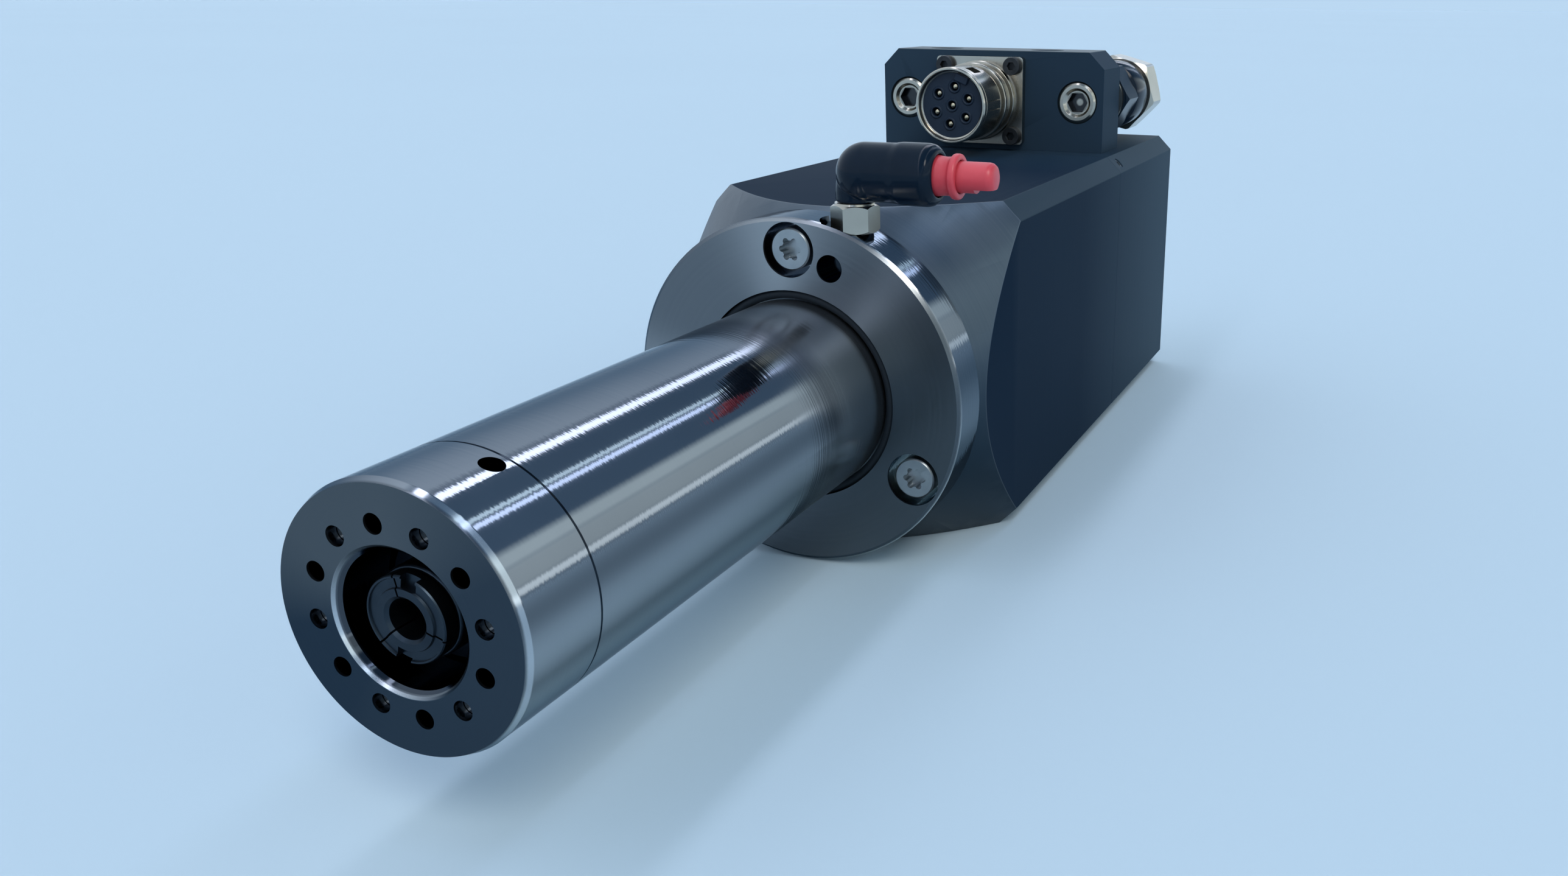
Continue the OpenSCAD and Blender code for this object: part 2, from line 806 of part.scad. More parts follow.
// Rear cover: square casing with the release cylinder bored in it
module rear_cover() {
    air_z = half_w - air_hole_inset;
    middle = block_y + block_depth / 2;
    passage = half_w - air_z + cut;
    color("darkslategray") difference() {
        along_y(cover_y) linear_extrude(cover_length) cut_square(housing_w, housing_chamfer);
        bar(cover_bore_r, cover_y - cut, cylinder_y);
        bar(cylinder_r, cylinder_y - cut, cylinder_end);
        cover_screw_places() {
            bar(screw_d / 2 + hole_gap, cover_y - cut, rear_y + cut);
            bar(flange_screw_head_d / 2 + 2 * hole_gap, rear_y - cover_screw_sink, rear_y + cut);
        }
        translate([power_x, middle, 0]) {
            cylinder(d = wire_hole_d, h = half_w + cut);
            translate([0, 0, half_w - seal_depth]) cylinder(r = wire_hole_d / 2 + seal_ring_w, h = seal_depth + cut);
        }
        for (x = block_screw_x) translate([x, middle, block_screw_z]) {
            cylinder(r = screw_d / 2 + seat_gap, h = block_screw_grip + cut);
        }
        translate([plug_x, middle, air_z]) cylinder(d = air_hole_d, h = passage);
        translate([plug_x, 0, air_z]) bar(air_hole_d / 2, middle, cylinder_end - cylinder_room / 2);
        translate([plug_x, cylinder_end - cylinder_room / 2, cylinder_r / 6]) {
            cylinder(d = air_hole_d, h = air_z - cylinder_r / 6);
        }
        cover_plug_place() translate([0, 0, -4]) cylinder(r = 1.5 + seat_gap, h = 5);
    }
}

// The small plug's place on the upper right chamfer, just behind the seam
module cover_plug_place() {
    middle = half_w - housing_chamfer / 2;
    translate([middle, cover_y + 5.5, middle]) rotate([0, 45, 0]) children();
}

module cover_plug() {
    color("gray") cover_plug_place() difference() {
        translate([0, 0, -3.6]) cylinder(r = 1.5, h = 3.3);
        translate([0, 0, -1.6]) hexagon(1.5, 2);
    }
}

// Rear cover screws: four long socket head screws
module rear_cover_screws() {
    color("dimgray") cover_screw_places() {
        seat = rear_y - cover_screw_sink;
        difference() {
            union() {
                bar(flange_screw_head_d / 2, seat, seat + flange_screw_head_h);
                bar(screw_d / 2, cover_y - cover_screw_grip, seat + cut);
            }
            along_y(seat + flange_screw_head_h - socket_depth) hexagon(socket_af, socket_depth + cut);
        }
    }
}

// Cylinder plate: front wall of the release cylinder, guides the push stem
module cylinder_plate() {
    color("silver") difference() {
        ring(stem_r + run_gap, shield_r, plate_y, cylinder_y);
        for (angle = [30:90:330]) at_angle(angle, return_spring_r) {
            bar(return_spring_d / 2 + free_gap, cylinder_y - return_seat, cylinder_y + cut);
        }
    }
}

// Connector block with the power connector's opening, the wire chamber and two air channels
module connector_block() {
    middle = block_y + block_depth / 2;
    color("darkslategray") difference() {
        along_y(block_y) linear_extrude(block_depth) polygon([
            [block_left, -half_w],
            [block_right, -half_w],
            [block_right, block_chamfer - block_top],
            [block_right - block_chamfer, -block_top],
            [block_left + block_chamfer, -block_top],
            [block_left, block_chamfer - block_top]
        ]);
        translate([power_x, 0, block_z]) bar(shell_bore_r, block_y - cut, middle + 2);
        translate([power_x, middle, half_w - cut]) cylinder(d = wire_hole_d, h = block_h / 2 + cut);
        power_screw_places() bar(plate_screw_r + seat_gap, block_y - cut, block_y + plate_screw_grip + 0.5);
        for (x = block_screw_x) translate([x, middle, 0]) {
            translate([0, 0, half_w - cut]) cylinder(r = screw_d / 2 + hole_gap, h = block_h + 2 * cut);
            translate([0, 0, block_top - block_screw_sink]) {
                cylinder(r = block_screw_head_d / 2 + 2 * hole_gap, h = block_screw_sink + cut);
            }
        }
        for (x = [plug_x, blind_plug_x]) translate([x, 0, block_z]) {
            bar(channel_d / 2, block_y + cut, block_back + cut);
            bar(plug_head_d / 2 + seat_gap, block_y - cut, block_y + plug_head_t);
            bar(x == plug_x ? fitting_thread_r + seat_gap : plug_head_d / 2 + seat_gap,
                block_back - thread_depth, block_back + cut);
        }
        translate([plug_x, middle, half_w - cut]) cylinder(d = air_hole_d, h = block_h / 2);
    }
}

module block_screws() {
    head_z = block_top - block_screw_sink;
    start_z = block_screw_z + 0.5;
    color("dimgray") for (x = block_screw_x) translate([x, block_y + block_depth / 2, 0]) difference() {
        union() {
            translate([0, 0, head_z]) cylinder(d = block_screw_head_d, h = block_screw_head_h);
            translate([0, 0, start_z]) cylinder(r = screw_d / 2, h = head_z + cut - start_z);
        }
        translate([0, 0, head_z + block_screw_head_h - socket_depth]) hexagon(socket_af, socket_depth + cut);
    }
}

// Seal ring round the wire hole, between the block and the rear cover
module block_seal() {
    color("black") translate([power_x, block_y + block_depth / 2, half_w - seal_depth]) rotate_extrude() {
        translate([wire_hole_d / 2 + free_gap, 0]) square([seal_ring_w - 2 * free_gap, seal_depth - run_gap]);
    }
}

// Air channel plugs: hexagon socket plugs, two in front and one behind on the left
module air_plugs() {
    color("silver") {
        for (x = [plug_x, blind_plug_x]) translate([x, 0, block_z]) air_plug(block_y - plug_proud, 1);
        translate([blind_plug_x, 0, block_z]) air_plug(block_back + plug_proud, -1);
    }
}

// One plug whose head faces along -Y, or +Y when the side is -1
module air_plug(face, side) {
    translate([0, face, 0]) scale([1, side, 1]) rotate([-90, 0, 0]) difference() {
        rotate_extrude() polygon([
            [0, plug_sink_depth],
            [plug_sink_end_r, plug_sink_depth],
            [plug_sink_r, 0],
            [plug_head_d / 2 - plug_rim, 0],
            [plug_head_d / 2, plug_rim],
            [plug_head_d / 2, plug_head_t],
            [0, plug_head_t]
        ]);
        hexagon(plug_socket_af, plug_socket_depth);
    }
}

// Power connector shell: square plate with a round stepped shell
module power_connector_shell() {
    plate_y0 = block_y - power_plate_t;
    color("gainsboro") difference() {
        union() {
            translate([power_x - power_plate_w / 2, plate_y0, block_z - power_plate_h / 2]) {
                cube([power_plate_w, power_plate_t, power_plate_h]);
            }
            translate([power_x, 0, block_z]) turned([
                [0, shell_front],
                [shell_r - 0.9, shell_front],
                [shell_r, shell_front + 0.9],
                [shell_r, shell_front + 12.6],
                [shell_r - 0.8, shell_front + 13.2],
                [shell_r - 0.8, shell_front + 15],
                [shell_r + 0.5, shell_front + 15.4],
                [shell_r + 0.5, shell_front + 17.2],
                [shell_r - 0.2, shell_front + 17.6],
                [shell_r - 0.2, plate_y0 - 1.6],
                [shell_r + 0.9, plate_y0 - 1.2],
                [shell_r + 0.9, plate_y0 + 0.5],
                [0, plate_y0 + 0.5]
            ]);
        }
        translate([power_x, 0, block_z]) bar(shell_bore_r, shell_front - cut, block_y + cut);
        power_screw_places() {
            bar(plate_screw_r + free_gap, plate_y0 - cut, block_y + cut);
            bar(plate_head_r + free_gap, plate_y0 - plate_head_h - cut, plate_y0 + plate_sink);
        }
    }
}

module power_screw_places() {
    for (x = [-1, 1], z = [-1, 1]) {
        screw_z = power_plate_h / 2 - plate_screw_inset;
        translate([power_x + x * power_screw_spacing / 2, 0, block_z + z * screw_z]) children();
    }
}

module power_connector_screws() {
    plate_y0 = block_y - power_plate_t;
    color("black") power_screw_places() difference() {
        union() {
            bar(plate_head_r, plate_y0 + plate_sink - plate_head_h, plate_y0 + plate_sink);
            bar(plate_screw_r, plate_y0, block_y + plate_screw_grip);
        }
        along_y(plate_y0 - plate_head_h - cut) hexagon(plate_socket_af, plate_head_h + cut / 2);
    }
}

module contact_places() {
    children();
    for (i = [0:5]) at_angle(i * 60 + 22, contact_circle_r) children();
}

// Insulating insert with seven contact chambers
module power_connector_insert() {
    color("black") translate([power_x, 0, block_z]) difference() {
        bar(insert_r, insert_front, block_y + 4);
        contact_places() bar(contact_hole_r, insert_front - cut, insert_front + contact_depth);
    }
}

module power_contacts() {
    color("gold") translate([power_x, 0, block_z]) contact_places() {
        bar(contact_r, insert_front + contact_sink, insert_front + contact_depth);
    }
}

// Hose fitting stem: nickel base ring, thread into the block and the socket for the hose
module hose_fitting_stem() {
    color("gainsboro") translate([plug_x, 0, block_z]) turned([
        [1.6, block_back - thread_depth + 0.5],
        [fitting_thread_r, block_back - thread_depth + 0.5],
        [fitting_thread_r, block_back],
        [fitting_base_d / 2, block_back],
        [fitting_base_d / 2, block_back + fitting_base_t],
        [fitting_tube_r, block_back + fitting_base_t],
        [fitting_tube_r, nut_end - 2],
        [hose_d / 2 + run_gap, nut_end - 2],
        [hose_d / 2 + run_gap, nut_end - 18],
        [1.6, nut_end - 18]
    ]);
}

// Hose fitting sleeve: dark body with a hexagonal base
module hose_fitting_sleeve() {
    start = block_back + fitting_base_t;
    r = sleeve_ring_d / 2;
    inner = fitting_tube_r + seat_gap;
    color("midnightblue") translate([plug_x, 0, block_z]) difference() {
        union() {
            along_y(start) hexagon(sleeve_ring_d - 2, 12);
            turned([
                [inner, start + 11],
                [r - 1, start + 11],
                [r, start + 12.5],
                [r, fitting_end - 3],
                [r - 1, fitting_end],
                [inner, fitting_end]
            ]);
        }
        bar(inner, start - 1, fitting_end + 1);
    }
}

// Hose union nut: nickel hexagon nut that clamps the hose
module hose_union_nut() {
    corner_r = union_af / 2 / cos(30);
    color("gainsboro") translate([plug_x, 0, block_z]) difference() {
        intersection() {
            along_y(nut_start) hexagon(union_af, union_length);
            turned([
                [0, nut_start],
                [union_af / 2, nut_start],
                [corner_r, nut_start + 1.2],
                [corner_r, nut_end - 2],
                [union_af / 2 - 0.6, nut_end],
                [0, nut_end]
            ]);
        }
        bar(fitting_tube_r + run_gap, nut_start - 1, nut_end - 1.5);
        bar(hose_d / 2 + free_gap, nut_start - 1, nut_end + 1);
    }
}

// Elbow stud: hexagon and thread in the flange's rim
module elbow_stud() {
    color("gainsboro") translate([elbow_x, elbow_y, 0]) difference() {
        union() {
            translate([0, 0, elbow_seat_z]) rotate(hex_turn) hexagon(elbow_af, elbow_hex_h - run_gap);
            translate([0, 0, elbow_seat_z - stud_reach]) cylinder(r = stud_r, h = stud_reach + cut);
            translate([0, 0, elbow_seat_z]) cylinder(r = pivot_r, h = elbow_hex_h + pivot_h);
        }
        translate([0, 0, elbow_seat_z - 2 * stud_reach]) cylinder(r = air_r, h = 5 * stud_reach);
    }
}

// Elbow body: swivels on the stud and carries the arm with the tube socket
module elbow_body() {
    color("black") translate([0, elbow_y, 0]) difference() {
        union() {
            translate([elbow_x, 0, hex_top]) cylinder(r1 = neck_r, r2 = neck_top_r, h = arm_r);
            translate([arm_start, 0, arm_z]) rotate([0, 90, 0]) rotate_extrude() intersection() {
                union() {
                    circle(r = arm_r - collar_step);
                    square([arm_r - collar_step, collar_start - arm_start + cut]);
                }
                translate([0, -2 * arm_r]) square([2 * arm_r, 4 * arm_r]);
            }
            translate([collar_start, 0, arm_z]) rotate([0, 90, 0]) {
                rotate_extrude() polygon([
                    [0, 0],
                    [arm_r - 0.4, 0],
                    [arm_r, 0.5],
                    [arm_r, arm_end - collar_start - 0.9],
                    [arm_r - 0.9, arm_end - collar_start],
                    [0, arm_end - collar_start]
                ]);
            }
        }
        translate([elbow_x, 0, hex_top - cut]) cylinder(r = pivot_r + run_gap, h = pivot_h + cut + 0.2);
        translate([elbow_x, 0, hex_top]) cylinder(r = air_r, h = arm_r + 0.2);
        translate([elbow_x - 0.4, 0, arm_z]) rotate([0, 90, 0]) cylinder(r = 1.25 * air_r, h = elbow_reach);
        translate([arm_end, 0, arm_z]) rotate([0, 90, 0]) rotate_extrude() polygon([
            [0, -stop_depth],
            [tube_bore_r, -stop_depth],
            [tube_bore_r, -ring_seat_depth],
            [ring_neck_r + 0.15, -ring_seat_depth],
            [ring_neck_r + 0.15, 1],
            [0, 1]
        ]);
    }
}

// Release ring: pressed towards the arm to let the tube go
module release_ring() {
    sleeve = ring_seat_depth - ring_travel - 0.3;
    color("tomato") translate([arm_end, elbow_y, arm_z]) rotate([0, 90, 0]) rotate_extrude() polygon([
        [ring_bore_r, -sleeve],
        [ring_sleeve_r, -sleeve],
        [ring_sleeve_r, -1],
        [ring_neck_r, -0.6],
        [ring_neck_r - 0.3, 2.6],
        [ring_flange_r - 0.2, 2.7],
        [ring_flange_r, 3],
        [ring_flange_r, 3.9],
        [ring_flange_r - 0.5, 4.3],
        [ring_bore_r, 4.3]
    ]);
}

// Blanking plug: red stem that keeps dirt out of the empty tube socket
module blanking_plug() {
    depth = stop_depth - 0.3;
    color("tomato") translate([arm_end, elbow_y, arm_z]) rotate([0, 90, 0]) difference() {
        rotate_extrude() polygon([
            [0, -depth],
            [tube_r - 0.4, -depth],
            [tube_r, 0.6 - depth],
            [tube_r, plug_reach - 0.9],
            [tube_r - 0.9, plug_reach],
            [0, plug_reach]
        ]);
        translate([tube_r - 0.9, -tube_d, 7.5]) cube([tube_d, 2 * tube_d, tube_d]);
    }
}

// Spindle shaft: collet seat at the front, spring chamber at the rear
module spindle_shaft() {
    color("slategray") difference() {
        turned([
            [cone_mouth_r + run_gap, shaft_front],
            [shaft_nose_d / 2 - 0.3, shaft_front],
            [shaft_nose_d / 2, shaft_front + 0.3],
            [shaft_nose_d / 2, shoulder_y],
            [shoulder_d / 2, shoulder_y],
            [shoulder_d / 2, bearing_1 - ring_recess + free_gap],
            [inner_ring_r, bearing_1 - ring_recess + free_gap],
            [inner_ring_r, bearing_1],
            [shaft_r, bearing_1],
            [shaft_r, shaft_tail],
            [spring_bore_d / 2, shaft_tail],
            [spring_bore_d / 2, spring_seat],
            [drawbar_r + run_gap, spring_seat],
            [drawbar_r + run_gap, collet_tail_end + release_stroke],
            [collet_bore_r, collet_tail_end + release_stroke],
            [collet_bore_r, cone_end_y]
        ]);
        rotate([0, 90 - lock_hole_angle, 0]) translate([0, lock_y, lock_hole_bottom]) {
            cylinder(d = lock_hole_d, h = shoulder_d / 2);
        }
    }
}

// Collet: slit cone with a collar in front, screwed on the draw bar
module collet() {
    slits = 3;
    color("gray") difference() {
        turned([
            [tool_bore_d / 2 + 0.3, collet_face],
            [collet_collar_d / 2 - 0.3, collet_face],
            [collet_collar_d / 2, collet_face + 0.3],
            [collet_collar_d / 2, collar_end],
            [cone_mouth_r, collar_end],
            [cone_mouth_r, shaft_front],
            [collet_r, cone_end_y],
            [collet_r, collet_tail_end],
            [stud_d / 2 + seat_gap, collet_tail_end],
            [stud_d / 2 + seat_gap, collet_tail_end - stud_length - 0.5],
            [1, collet_tail_end - stud_length - 0.5],
            [1, collet_face + tool_bore_depth],
            [tool_bore_d / 2, collet_face + tool_bore_depth],
            [tool_bore_d / 2, collet_face + 0.3]
        ]);
        for (i = [0:slits - 1]) rotate([0, i * 360 / slits + slit_turn, 0]) {
            translate([0, collet_face - cut, -slit_w / 2]) cube([collet_collar_d, slit_length, slit_w]);
        }
        for (side = [0, 180]) rotate([0, side - notch_angle, 0]) {
            translate([tool_bore_d / 2 + notch_wall, collet_face - cut, -notch_w / 2]) {
                cube([collet_collar_d, notch_depth + cut, notch_w]);
            }
        }
    }
}

// Draw bar between the collet and the spring head
module drawbar() {
    color("silver") union() {
        bar(drawbar_r, collet_tail_end, head_y);
        bar(stud_d / 2, collet_tail_end - stud_length, collet_tail_end + cut);
        bar(stud_d / 2, head_y - cut, head_y + head_stud_length);
    }
}

// Draw bar head: carries the spring load and meets the push stem
module drawbar_head() {
    color("gray") turned([
        [stud_d / 2 + seat_gap, head_y],
        [head_r, head_y],
        [head_r, head_end - push_nose],
        [head_r - push_nose, head_end],
        [0, head_end],
        [0, head_y + head_stud_length + 0.5],
        [stud_d / 2 + seat_gap, head_y + head_stud_length + 0.5]
    ]);
}

// Disc springs: the stack in the shaft that pulls the collet home
module disc_springs() {
    cone = disc_pitch - disc_t - 0.1;
    color("steelblue") for (i = [0:discs - 1]) {
        base = spring_seat + 0.05 + i * disc_pitch;
        inner_high = i % 2 == 0 ? cone : 0;
        outer_high = cone - inner_high;
        turned([
            [disc_inner_r, base + inner_high],
            [disc_r, base + outer_high],
            [disc_r, base + outer_high + disc_t],
            [disc_inner_r, base + inner_high + disc_t]
        ]);
    }
}

// Rotor core, pressed on the shaft
module rotor_core() {
    color("dimgray") ring(bearing_bore / 2, rotor_d / 2, rotor_start, rotor_end);
}

// Balance rings at both ends of the rotor, with a few balancing holes
module balance_rings() {
    color("darkgoldenrod") for (start = [rotor_start - balance_w, rotor_end]) difference() {
        ring(bearing_bore / 2, rotor_d / 2 - 0.4, start, start + balance_w);
        for (angle = [0:60:300]) at_angle(angle, bearing_bore / 2 + 2.3) {
            if (start < rotor_start) bar(1, start - 1, start + 3);
            else bar(1, start + balance_w - 3, start + balance_w + 1);
        }
    }
}

module rotor_spacer() {
    color("silver") ring(bearing_bore / 2, inner_ring_r, rotor_end + balance_w, rear_bearing_1);
}

// Release piston: the disc that air pushes forward, with its push stem
module release_piston() {
    groove = piston_y + piston_t / 2 - seal_w / 2;
    color("silver") difference() {
        turned([
            [0, plate_y - push_nose],
            [stem_r - push_nose, plate_y - push_nose],
            [stem_r, plate_y],
            [stem_r, piston_y],
            [piston_r, piston_y],
            [piston_r, groove],
            [piston_r - 2, groove],
            [piston_r - 2, groove + seal_w],
            [piston_r, groove + seal_w],
            [piston_r, piston_end],
            [0, piston_end]
        ]);
        for (angle = [30:90:330]) at_angle(angle, return_spring_r) {
            bar(return_spring_d / 2 + free_gap, piston_y - cut, piston_y + return_pocket);
        }
    }
}

module piston_seals() {
    groove = piston_y + piston_t / 2;
    color("black") along_y(groove) rotate_extrude() translate([piston_r - 1 + run_gap / 2, 0]) {
        circle(r = 1 - run_gap / 2, $fn = 32);
    }
}

// Return springs: four small coil springs between the plate and the piston
module return_springs() {
    wire = return_wire;
    start = cylinder_y - return_seat;
    height = piston_y + return_pocket - start;
    coils = 6;
    color("steelblue") for (angle = [30:90:330]) at_angle(angle, return_spring_r) {
        for (i = [0:coils - 1]) {
            along_y(start + wire / 2 + i * (height - wire) / (coils - 1)) rotate_extrude($fn = 24) {
                translate([return_spring_d / 2 - wire / 2, 0]) circle(d = wire, $fn = 24);
            }
        }
    }
}

nose_sleeve();
front_cap();
cap_screws();
bearing_clamp_ring();
flange_seal_ring();
flange_screws();
front_outer_rings();
front_outer_spacer();
main_housing();
stator_core();
stator_windings();
rear_bearing_shield();
rear_outer_rings();
preload_spring();
rear_cover();
rear_cover_screws();
cover_plug();
cylinder_plate();
connector_block();
block_screws();
block_seal();
air_plugs();
power_connector_shell();
power_connector_screws();
power_connector_insert();
power_contacts();
hose_fitting_stem();
hose_fitting_sleeve();
hose_union_nut();
elbow_stud();
elbow_body();
release_ring();
blanking_plug();
spindle_shaft();
front_inner_rings();
front_inner_spacer();
front_balls();
front_lock_nut();
rotor_core();
balance_rings();
rotor_spacer();
rear_inner_rings();
rear_balls();
rear_lock_nut();
disc_springs();
drawbar();
drawbar_head();
collet();
release_piston();
piston_seals();
return_springs();
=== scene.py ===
"""Engraving spindle: finishes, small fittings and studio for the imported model."""
import json
import math

import bpy
from mathutils import Matrix, Vector

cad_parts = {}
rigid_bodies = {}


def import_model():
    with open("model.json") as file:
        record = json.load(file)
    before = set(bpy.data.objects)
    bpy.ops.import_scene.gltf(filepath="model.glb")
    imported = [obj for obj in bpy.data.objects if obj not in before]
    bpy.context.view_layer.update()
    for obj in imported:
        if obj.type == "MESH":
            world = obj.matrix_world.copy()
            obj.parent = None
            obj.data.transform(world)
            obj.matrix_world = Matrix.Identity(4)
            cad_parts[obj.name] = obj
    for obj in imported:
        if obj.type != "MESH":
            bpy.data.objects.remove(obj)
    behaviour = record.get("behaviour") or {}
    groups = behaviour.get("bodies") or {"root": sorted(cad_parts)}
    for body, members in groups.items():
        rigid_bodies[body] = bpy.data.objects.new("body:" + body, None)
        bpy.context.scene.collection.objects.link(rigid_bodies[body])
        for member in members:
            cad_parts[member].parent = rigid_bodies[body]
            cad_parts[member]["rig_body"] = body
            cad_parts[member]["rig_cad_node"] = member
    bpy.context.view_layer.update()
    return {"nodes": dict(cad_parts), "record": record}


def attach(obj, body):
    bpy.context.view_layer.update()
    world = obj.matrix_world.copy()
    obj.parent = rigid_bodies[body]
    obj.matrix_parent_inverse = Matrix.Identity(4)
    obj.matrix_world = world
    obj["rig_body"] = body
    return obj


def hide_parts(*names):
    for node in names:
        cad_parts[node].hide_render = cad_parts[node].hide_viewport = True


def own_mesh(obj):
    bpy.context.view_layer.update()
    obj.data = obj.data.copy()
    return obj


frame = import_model()
nodes = frame["nodes"]

MM = 0.001

# Places and sizes of the CAD part that the finishes follow, in metres.
NOSE_R = 0.020
NOSE_FACE = -0.1075
SEAM_Y = -0.0924
FLANGE_FACE_R = 0.0216
FLANGE_T = 0.0114
HALF_W = 0.0368
HOUSING_CHAMFER = 0.004
CONE_START_R = 0.0356
CONE_SLOPE = 0.6
LOCATING_HOLE = (0.00884, 0.02688)
BLOCK_TOP = 0.0637

# Places and sizes that the new pieces follow, in mm.
COLLET_FACE = -106.5
BLOCK_FRONT = 128.0
BLOCK_BACK = 145.3
BLOCK_Z = 50.25
POWER_X = -6.2
POWER_PLACE = (POWER_X, 0, BLOCK_Z)
CONNECTOR_FRONT = BLOCK_FRONT - 25
INSERT_FACE = CONNECTOR_FRONT + 1.6
CHAMBER_CIRCLE_R = 4.9
PLATE_T = 2.4
PLATE_HALF_W = 12.75
PLATE_HALF_H = 11.8
PLATE_SCREW_X = 9.9
PLATE_SCREW_Z = 9.4
PLUG_X = 21.7
BLIND_PLUG_X = -28.7
HOSE_PLACE = (PLUG_X, 0, BLOCK_Z)
ELBOW = (12.2, 5.5)
STUD_PLACE = (*ELBOW, 0)
HEX_LOW = 33.6
HEX_TOP = 39.4
ARM_Z = 45.3
ARM_END = 30.2
ARM_PLACE = (0, ELBOW[1], ARM_Z)

bpy.ops.object.select_all(action="DESELECT")


class Wire:
    """A shader socket that understands arithmetic."""

    def __init__(self, tree, socket):
        self.tree = tree
        self.socket = socket

    def math(self, operation, *others, clamp=False):
        node = self.tree.nodes.new("ShaderNodeMath")
        node.operation = operation
        node.use_clamp = clamp
        for slot, value in zip(node.inputs, (self, *others)):
            plug(self.tree, slot, value)
        return Wire(self.tree, node.outputs[0])

    def __add__(self, other):
        return self.math("ADD", other)

    def __sub__(self, other):
        return self.math("SUBTRACT", other)

    def __rsub__(self, other):
        return (self * -1).math("ADD", other)

    def __mul__(self, other):
        return self.math("MULTIPLY", other)

    def __truediv__(self, other):
        return self.math("DIVIDE", other)

    def __pow__(self, other):
        return self.math("POWER", other)

    def above(self, edge, width):
        """0 below the edge and 1 above it, soft over the width."""
        return ((self - edge) / width + 0.5).clamped()

    def clamped(self):
        return self.math("ADD", 0.0, clamp=True)

    def sine(self):
        return self.math("SINE")

    def absolute(self):
        return self.math("ABSOLUTE")

    def root(self):
        return self.math("SQRT")


def plug(tree, slot, value):
    """Links a wire to a socket, or sets the socket to a number or a colour."""
    if isinstance(value, Wire):
        tree.links.new(value.socket, slot)
    elif isinstance(value, (tuple, list)) and len(value) == 3 and slot.type == "RGBA":
        slot.default_value = (*value, 1.0)
    else:
        slot.default_value = value


def mixed(tree, low, high, share):
    """Blends two colours by a share from 0 to 1."""
    made = tree.nodes.new("ShaderNodeMix")
    made.data_type = "RGBA"
    plug(tree, made.inputs[0], share)
    plug(tree, made.inputs[6], low)
    plug(tree, made.inputs[7], high)
    return Wire(tree, made.outputs[2])


class Finish:
    """A material under construction, with helpers for the nodes it uses."""

    def __init__(self, name):
        self.material = bpy.data.materials.new(name)
        self.material.use_nodes = True
        self.tree = self.material.node_tree
        self.tree.nodes.clear()
        self.output = self.tree.nodes.new("ShaderNodeOutputMaterial")
        self.place = self.node("TexCoord", out="Object")

    def node(self, kind, out=0, **sockets):
        """Adds a node, with values or wires for its sockets."""
        made = self.tree.nodes.new("ShaderNode" + kind)
        for key, value in sockets.items():
            plug(self.tree, made.inputs[key.replace("_", " ")], value)
        return Wire(self.tree, made.outputs[out])

    def axes(self):
        """X, Y and Z of the place, in metres."""
        split = self.tree.nodes.new("ShaderNodeSeparateXYZ")
        plug(self.tree, split.inputs[0], self.place)
        return [Wire(self.tree, split.outputs[i]) for i in range(3)]

    def at(self, x, y, z):
        """A vector made of three numbers or wires."""
        made = self.tree.nodes.new("ShaderNodeCombineXYZ")
        for slot, value in zip(made.inputs, (x, y, z)):
            plug(self.tree, slot, value)
        return Wire(self.tree, made.outputs[0])

    def noise(self, scale, detail, place=None):
        return self.node("TexNoise", Vector=place or self.place, Scale=scale, Detail=detail,
                         Roughness=0.55)

    def mix(self, low, high, share):
        return mixed(self.tree, low, high, share)

    def bump(self, height, distance, strength):
        return self.node("Bump", Height=height, Distance=distance, Strength=strength)

    def surface(self, **sockets):
        """Ends the material in one shader."""
        shader = self.node("BsdfPrincipled", **sockets)
        self.tree.links.new(shader.socket, self.output.inputs[0])
        return self.material


def radius_from(x, z, cx=0.0, cz=0.0):
    """Distance from an axis along Y."""
    return ((x - cx) * (x - cx) + (z - cz) * (z - cz)).root()


def towards(x, z, r, degrees):
    """1 in one direction round the spindle axis, falling to 0 a quarter turn away."""
    turn = math.radians(degrees)
    return ((x * math.cos(turn) + z * math.sin(turn)) / (r + 1e-6)).clamped()


def painted_reflection_bands(f, base, x, z, r):
    """The ground steel with painted reflections: paler low on the right, two dark streaks, and darker on the
    left.
    """
    base = f.mix(base, (0.58, 0.62, 0.60), towards(x, z, r, -42) ** 4 * 0.8)
    painted_dark_streaks = towards(x, z, r, 11) ** 90 * 0.65 + towards(x, z, r, -17) ** 160 * 0.4
    base = f.mix(base, (0.06, 0.07, 0.08), painted_dark_streaks.clamped())
    return f.mix(base, (0.10, 0.11, 0.12), towards(x, z, r, 130) ** 8 * 0.7)


def between(value, low, high, soft):
    """1 between two limits and 0 outside them, with soft edges."""
    return value.above(low, soft) * (1 - value.above(high, soft))


def grinding(f, x, y, z):
    """Fine marks of grinding round the spindle axis."""
    fine = f.noise(1.0, 3.0, place=f.at(x * 5, y * 5200, z * 5))
    coarse = f.noise(1.0, 2.0, place=f.at(x * 3, y * 900, z * 3))
    return fine * 0.65 + coarse * 0.35


STEEL_TONES = ((0.225, 0.245, 0.275), (0.295, 0.315, 0.345))


def steel_surface(f, colour, rough, height):
    """The bluish metal of sleeve and cap, with a faint grain."""
    return f.surface(Base_Color=colour, Metallic=1.0, Roughness=rough, Specular_Tint=(0.32, 0.38, 0.44),
                     Normal=f.bump(height, 0.00004, 0.6))


